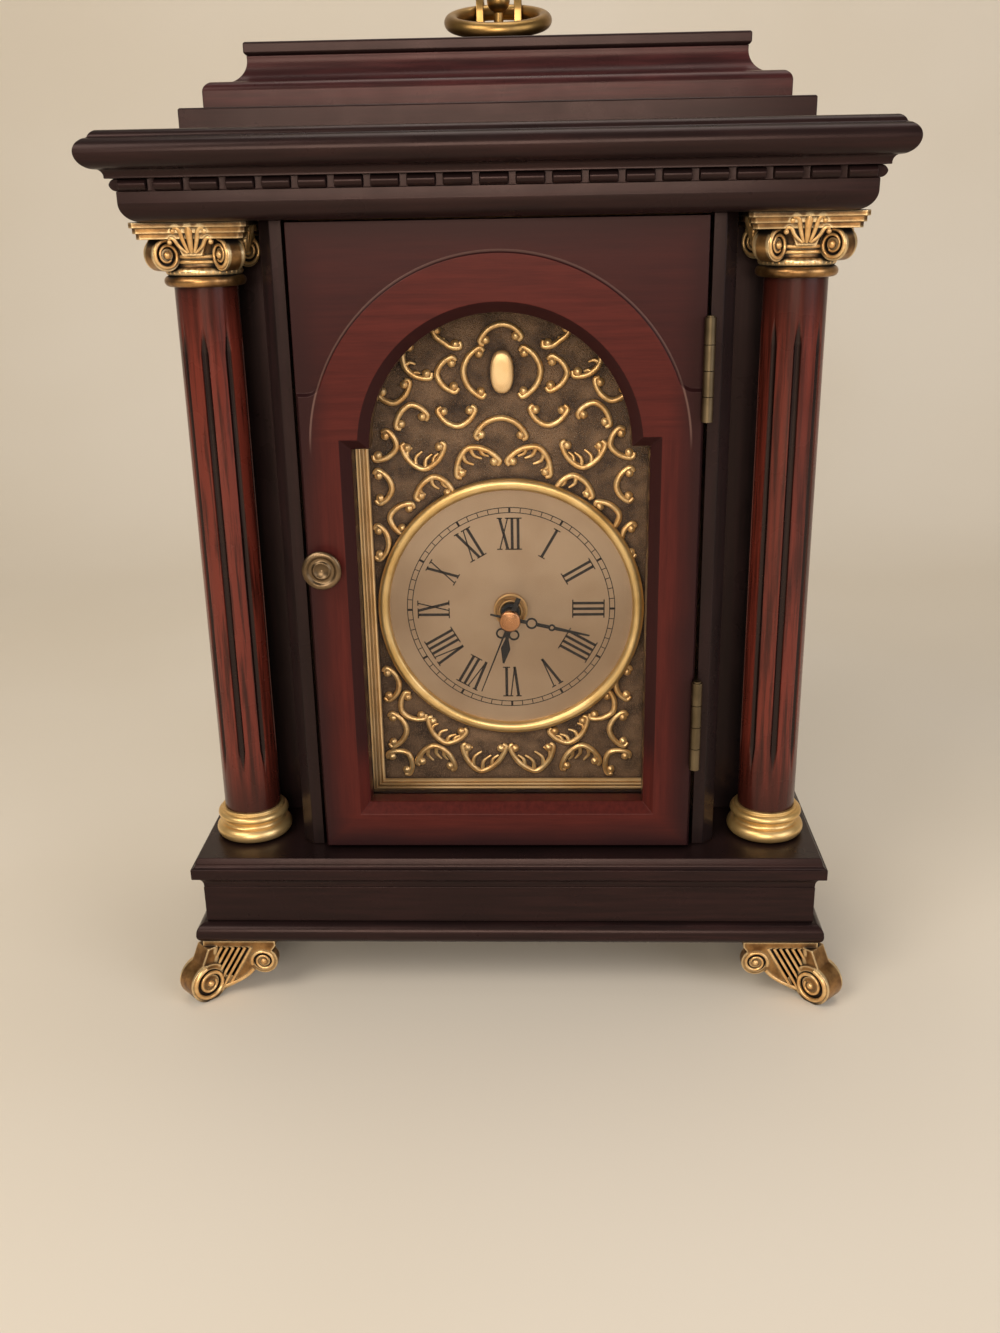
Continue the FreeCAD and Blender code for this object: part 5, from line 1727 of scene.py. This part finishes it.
@dataclass(frozen=True)
class ColumnWork:
    """The fluted columns with their cast capitals.

    Attributes:
        place: A column's X and Y.
        volute: The spiral of a capital's scroll.
        volute_out: How far a scroll stands from the column's middle.
        volute_z: The height of its middle.
        volute_half: Half its thickness.
        beads: The number, radius, size and height of the beads.
        bands: The heights of the two small bands.
        band: Their radius.
        band_steps: How many points go round their section, and round the column.
        leaf_low: The height of a leaf's foot.
        leaf_lean: How far the leaves lean outwards.
        leaf_size: How large they are.
        leaf_depth: How far they stand out where the capital has no face.
        leaf_look: How far over a leaf's foot the face is looked for.
        leaf_taper: How much of its radius a leaf keeps at its ends.
        leaf_tip: The radius of the ball at its tip, in its own.
        bud: The middle leaf's heights and radii.
        leaves: The radius and points of the other leaves.
        search: From how far outside the capital's face is looked for.
        base_arris: How far a base's edges are rounded.
        capital_arris: How far a capital's edges are.
    """

    place: Flat = (113.4, -31.8)
    volute: Volute = Volute(6.3, 0.75, 1.5, 1.6, 90.0)
    volute_out: float = 17.6
    volute_z: float = 314.1
    volute_half: float = 3.5
    beads: tuple[int, float, float, float] = (34, 13.9, 1.7, 307.6)
    bands: Flat = (311.4, 313.4)
    band: float = 0.75
    band_steps: tuple[int, int] = (12, 64)
    leaf_low: float = 314.6
    leaf_lean: float = 0.24
    leaf_size: float = 1.2
    leaf_depth: float = 15.4
    leaf_look: float = 2.8
    leaf_taper: float = 0.6
    leaf_tip: float = 1.25
    bud: tuple[Flat, ...] = ((0.2, 0.6), (1.8, 1.0), (4.2, 1.2), (7.0, 1.6), (9.4, 0.6))
    leaves: tuple[tuple[float, tuple[Flat, ...]], ...] = (
        (0.95, ((0.9, 0.4), (2.0, 3.6), (2.9, 7.2), (4.2, 8.2), (4.9, 7.0))),
        (0.8, ((1.2, 0.2), (3.5, 2.2), (5.0, 4.6), (6.2, 4.8), (6.4, 3.6))),
    )
    search: float = 40.0
    base_arris: float = 0.3
    capital_arris: float = 0.25

    def palmette(self, shell: Shell, touch: Touch, centre: Vector, quarter: int) -> None:
        """Raises the leaves on one face of a capital.

        Args:
            shell: Takes the faces.
            touch: Finds the capital's face.
            centre: The column's foot.
            quarter: Which face it is.
        """
        turn = Matrix.Rotation(math.radians(90.0 * quarter), 3, "Z")
        way = turn @ BACK
        foot = centre + UP * self.leaf_low
        depth = touch.radius(foot + UP * self.leaf_look, way, self.search, self.leaf_depth)
        plane = Plane(foot - way * depth, turn @ RIGHT, (way * -self.leaf_lean + UP).normalized())
        bud = [plane.at(0, b * self.leaf_size) for b, _ in self.bud]
        shell.rod(bud, [thick for _, thick in self.bud], plane.normal, 10)
        for side in (-1, 1):
            for thick, points in self.leaves:
                leaf = curve_through(points, 6)
                route = [plane.at(side * p.x * self.leaf_size, p.y * self.leaf_size) for p in leaf]
                count = len(route) - 1
                swells = [math.sin(math.pi * i / count) * (1.0 - self.leaf_taper) for i in range(count + 1)]
                shell.rod(route, [thick * (self.leaf_taper + swell) for swell in swells], plane.normal)
                shell.ball(route[-1], thick * self.leaf_tip, 7)

    def scrolls(self, shell: Shell, centre: Vector, quarter: int) -> None:
        """Raises the spirals on both faces of a corner scroll.

        Args:
            shell: Takes the faces.
            centre: The column's foot.
            quarter: Which corner it is.
        """
        turn = math.radians(45.0 + 90.0 * quarter)
        out = Vector((math.cos(turn), math.sin(turn), 0))
        middle = centre + out * self.volute_out + UP * self.volute_z
        for side in (-1, 1):
            face = Vector((-out.y, out.x, 0)) * side
            right = UP.cross(face)
            plane = Plane(middle + face * self.volute_half, right, UP)
            self.volute.draw(shell, plane, -1 if right.dot(out) > 0 else 1)

    def build(self, clock: Clock) -> None:
        """Dresses both columns.

        Args:
            clock: The clock.
        """
        for side, name in ((-1, "left"), (1, "right")):
            clock.soften(Paint.ROLLED_BRASS, "bright_brass", self.base_arris, "column_base_" + name)
            clock.soften(Paint.COLUMN_WOOD, "column_wood", 0.0, "column_shaft_" + name)
            touch = Touch(clock.frame["nodes"]["capital_" + name])
            clock.soften(Paint.CAST_BRASS, "antique_brass", self.capital_arris, "capital_" + name)
            centre = Vector((side * self.place[0], self.place[1], 0.0))
            shell = Shell()
            for quarter in range(4):
                self.scrolls(shell, centre, quarter)
                self.palmette(shell, touch, centre, quarter)
            for height in self.bands:
                middle = centre + UP * height
                reach = touch.radius(middle, BACK, self.search, self.leaf_depth)
                round_section, round_column = self.band_steps
                turns = [math.tau * i / round_section for i in range(round_section)]
                ring = [(reach + self.band * math.cos(a), self.band * math.sin(a)) for a in turns]
                shell.turn(middle, UP, ring, round_column, True)
            clock.seat(shell, "capital_relief_" + name, Paint.SCROLL_BRASS, "antique_brass")
            count, radius, bead, height = self.beads
            ring = RingPattern("capital_beads_" + name, count, (radius, bead, bead, bead), True)
            made = ring.build(Matrix.Translation(centre + UP * height), clock.paints[Paint.SCROLL_BRASS])
            clock.put(made, "case", "antique_brass")


@dataclass(frozen=True)
class FootWork:
    """The four cast feet with their spirals and rims.

    Attributes:
        corner: The outer corner of the front left foot.
        rear_shift: How much further back the rear feet stand than mirrored ones.
        small: The spiral at a wing's end.
        small_place: Its place along the wing and upwards.
        big: The spiral at the corner.
        big_out: How far outside the corner it stands.
        big_z: Its height.
        big_half: Half the corner scroll's thickness.
        rim: The rim's radius.
        rim_route: The rim's points along the wing and upwards.
        rib: A rib's radius.
        rib_top: The height of its top.
        rib_lean: Its way down.
        rib_step: How far it goes between two looks for the rim.
        rib_start: Where the first one stands along the wing.
        rib_pitch: How far apart they stand.
        rib_count: How many there are.
        arris: How far a foot's edges are rounded.
    """

    corner: Flat = (-134.2, -60.7)
    rear_shift: float = 0.2
    small: Volute = Volute(6.1, 0.75, 1.35, -1.5, 200.0)
    small_place: Flat = (26.4, 17.2)
    big: Volute = Volute(9.0, 1.0, 1.5, 1.8, 100.0)
    big_out: float = 1.2
    big_z: float = 8.6
    big_half: float = 5.5
    rim: float = 0.8
    rim_route: tuple[Flat, ...] = (
        (21.8, 13.2),
        (19.0, 10.2),
        (15.0, 7.4),
        (10.5, 5.3),
        (6.0, 3.4),
        (3.0, 2.2),
    )
    rib: float = 0.66
    rib_top: float = 24.0
    rib_lean: Flat = (-8.0, -14.0)
    rib_step: float = 0.05
    rib_start: float = 5.7
    rib_pitch: float = 2.6
    rib_count: int = 7
    arris: float = 0.2

    def rim_height(self, x: float) -> float:
        """How high the rim runs.

        Args:
            x: The distance from the corner.

        Returns:
            The height.
        """
        places = self.rim_route[::-1]
        for one, two in zip(places, places[1:]):
            if one[0] <= x <= two[0]:
                return one[1] + (two[1] - one[1]) * (x - one[0]) / (two[0] - one[0])
        return places[0][1] if x < places[0][0] else places[-1][1]

    def raise_rib(self, shell: Shell, plane: Plane, x: float) -> None:
        """Raises one slanting rib between the plate and the rim.

        Args:
            shell: Takes the faces.
            plane: The wing's face.
            x: Where the rib's top stands.
        """
        share = 0.0
        z = self.rib_top
        place = x
        while share < 2.0 and place > self.rim and z > self.rim_height(place):
            share += self.rib_step
            place = x + self.rib_lean[0] * share
            z = self.rib_top + self.rib_lean[1] * share
        drop = z - self.rib_top
        route = [plane.at(x + (place - x) * t / 6, self.rib_top + drop * t / 6) for t in range(7)]
        shell.rod(route, [self.rib] * len(route), plane.normal)

    def relief(self) -> Shell:
        """The relief of the front left foot.

        Returns:
            Its faces.
        """
        shell = Shell()
        corner = Vector((*self.corner, 0.0))
        for right in (RIGHT, BACK):
            plane = Plane(corner, right, UP)
            self.small.draw(shell, Plane(plane.at(*self.small_place), right, UP), 1)
            route = [plane.at(p.x, p.y) for p in curve_through(self.rim_route, 6)]
            shell.rod(route, [self.rim] * len(route), plane.normal)
            for index in range(self.rib_count):
                self.raise_rib(shell, plane, self.rib_start + self.rib_pitch * index)
        centre = corner - (RIGHT + BACK).normalized() * self.big_out + UP * self.big_z
        for side in (-1, 1):
            face = (RIGHT - BACK).normalized() * side
            self.big.draw(shell, Plane(centre + face * self.big_half, UP.cross(face), UP), side)
        return shell

    def build(self, clock: Clock) -> None:
        """Dresses the four feet.

        Args:
            clock: The clock.
        """
        for side, side_name in ((-1, "left"), (1, "right")):
            for row_name in ("front", "rear"):
                name = "foot_" + row_name + "_" + side_name
                clock.soften(Paint.CAST_BRASS, "antique_brass", self.arris, name)
                shell = self.relief()
                for vert in shell.bm.verts:
                    vert.co.x *= -side
                    if row_name == "rear":
                        vert.co.y = self.rear_shift - vert.co.y
                clock.seat(shell, name + "_relief", Paint.SCROLL_BRASS, "antique_brass")
        clock.dress(Paint.STEEL, "foot_screws")


@dataclass(frozen=True)
class TopAndBack:
    """The ring handle, its post, and the movement inside."""

    arris: float = 0.3

    def build(self, clock: Clock) -> None:
        """Dresses the handle and the works.

        Args:
            clock: The clock.
        """
        clock.soften(Paint.TURNED_BRASS, "antique_brass", self.arris, "handle_post")
        clock.soften(Paint.TURNED_BRASS, "antique_brass", 0.0, "ring_handle", body="ring_handle")
        clock.dress(Paint.PLASTIC, "movement_case", "set_knob")
        clock.dress(Paint.SLEEVE, "battery")


@dataclass(frozen=True)
class Lamp:
    """A soft light that looks at the clock, with its place and size in metres."""

    name: str
    place: tuple[float, float, float]
    size: Flat
    power: float
    colour: str
    aim: tuple[float, float, float] = (0.0, 0.0, 0.2)

    def build(self) -> None:
        """Hangs the light."""
        data = bpy.data.lights.new(self.name, "AREA")
        data.shape = "RECTANGLE"
        data.size, data.size_y = self.size
        data.energy = self.power
        data.color = linear(self.colour)[:3]
        made = stand(self.name, data)
        spot = Vector(self.place)
        aim = (Vector(self.aim) - spot).to_track_quat("-Z", "Y")
        made.matrix_world = Matrix.Translation(spot) @ aim.to_matrix().to_4x4()


@dataclass(frozen=True)
class Stage:
    """The camera, the floor and the lights.

    Attributes:
        place: The camera's place.
        yaw: Its turn to the left in degrees.
        pitch: Its tilt downwards.
        roll: Its lean.
        lens: Its focal length.
        sensor: The width of its picture.
        wall: Where the floor begins to curve upwards, in metres.
        curve: The radius of that curve.
        extent: How far the floor and the wall reach.
        floor_smooth: The angle in degrees that the floor is shaded smooth over.
        air: The colour of the light from all round.
        air_power: How strong that is.
        lamps: The lights.
    """

    place: tuple[float, float, float] = (18.2, -552.0, 334.2)
    yaw: float = -2.25
    pitch: float = 20.04
    roll: float = -1.06
    lens: float = 46.83
    sensor: float = 36.0
    wall: float = 0.6
    curve: float = 0.5
    extent: float = 3.0
    floor_smooth: float = 180.0
    air: str = "#e3ddd2"
    air_power: float = 0.26
    lamps: tuple[Lamp, ...] = (
        Lamp("key", (-0.9, -1.0, 1.3), (0.9, 0.9), 15.0, "#fff6ea"),
        Lamp("fill", (1.2, -0.9, 0.7), (1.0, 1.0), 9.0, "#f4f6ff"),
        Lamp("top", (0.1, 0.2, 1.6), (1.0, 0.7), 6.0, "#fffaf2"),
        Lamp("front", (-0.1, -1.7, 0.62), (0.9, 0.6), 15.0, "#fff3e2"),
    )

    def camera(self) -> None:
        """Sets the camera where the photograph was taken."""
        yaw, pitch, roll = (math.radians(v) for v in (self.yaw, self.pitch, self.roll))
        level = math.cos(pitch)
        forward = Vector((math.sin(yaw) * level, math.cos(yaw) * level, -math.sin(pitch)))
        right = Vector((math.cos(yaw), -math.sin(yaw), 0.0))
        right = right * math.cos(roll) + right.cross(forward) * math.sin(roll)
        data = bpy.data.cameras.new("view")
        data.lens = self.lens
        data.sensor_fit = "HORIZONTAL"
        data.sensor_width = self.sensor
        data.clip_start = 0.01
        made = stand("view", data)
        turn = Matrix((right, right.cross(forward), -forward)).transposed().to_4x4()
        made.matrix_world = Matrix.Translation(Vector(self.place) * MM) @ turn
        bpy.context.scene.camera = made

    def floor(self) -> None:
        """Adds a pale floor that curves up behind the clock."""
        bend = [math.radians(a) for a in range(0, 91, 9)]
        line = [(self.wall + self.curve * math.sin(a), self.curve * (1.0 - math.cos(a))) for a in bend]
        line = [(-self.extent, 0.0), *line, (self.wall + self.curve, self.extent)]
        bm = bmesh.new()
        rings = [[bm.verts.new((x, y, z)) for x in (-self.extent, self.extent)] for y, z in line]
        for one, two in zip(rings, rings[1:]):
            bm.faces.new((one[0], one[1], two[1], two[0]))
        w = Writer("floor")
        mottle = w.cloud(w.add("ShaderNodeTexCoord").outputs["Object"], Noise(3.0, 2.0))
        w.set(Base_Color=w.blend(mottle, "#d9cfbf", "#ddd4c6"), Roughness=0.85)
        made = finished(bm, "floor", w.material, self.floor_smooth)

    def build(self) -> None:
        """Sets out the stage."""
        self.camera()
        self.floor()
        for lamp in self.lamps:
            lamp.build()
        world = bpy.data.worlds.new("studio")
        bpy.context.scene.world = world
        world.use_nodes = True
        air = world.node_tree.nodes["Background"]
        air.inputs["Color"].default_value = linear(self.air)
        air.inputs["Strength"].default_value = self.air_power
        bpy.context.scene.view_settings.view_transform = "Standard"


def main() -> None:
    """Builds the clock's looks and its stage."""
    logging.basicConfig(level=logging.INFO, format="%(name)s: %(message)s")
    clock = Clock()
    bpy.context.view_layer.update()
    boards = (Woodwork(), DoorWork())
    brasses = (DialWork(), OrnamentPlate(), DialFrame(), HandWork(), ColumnWork(), FootWork(), TopAndBack())
    for work in (*boards, *brasses):
        work.build(clock)
    Stage().build()


if __name__ == "__main__":
    main()
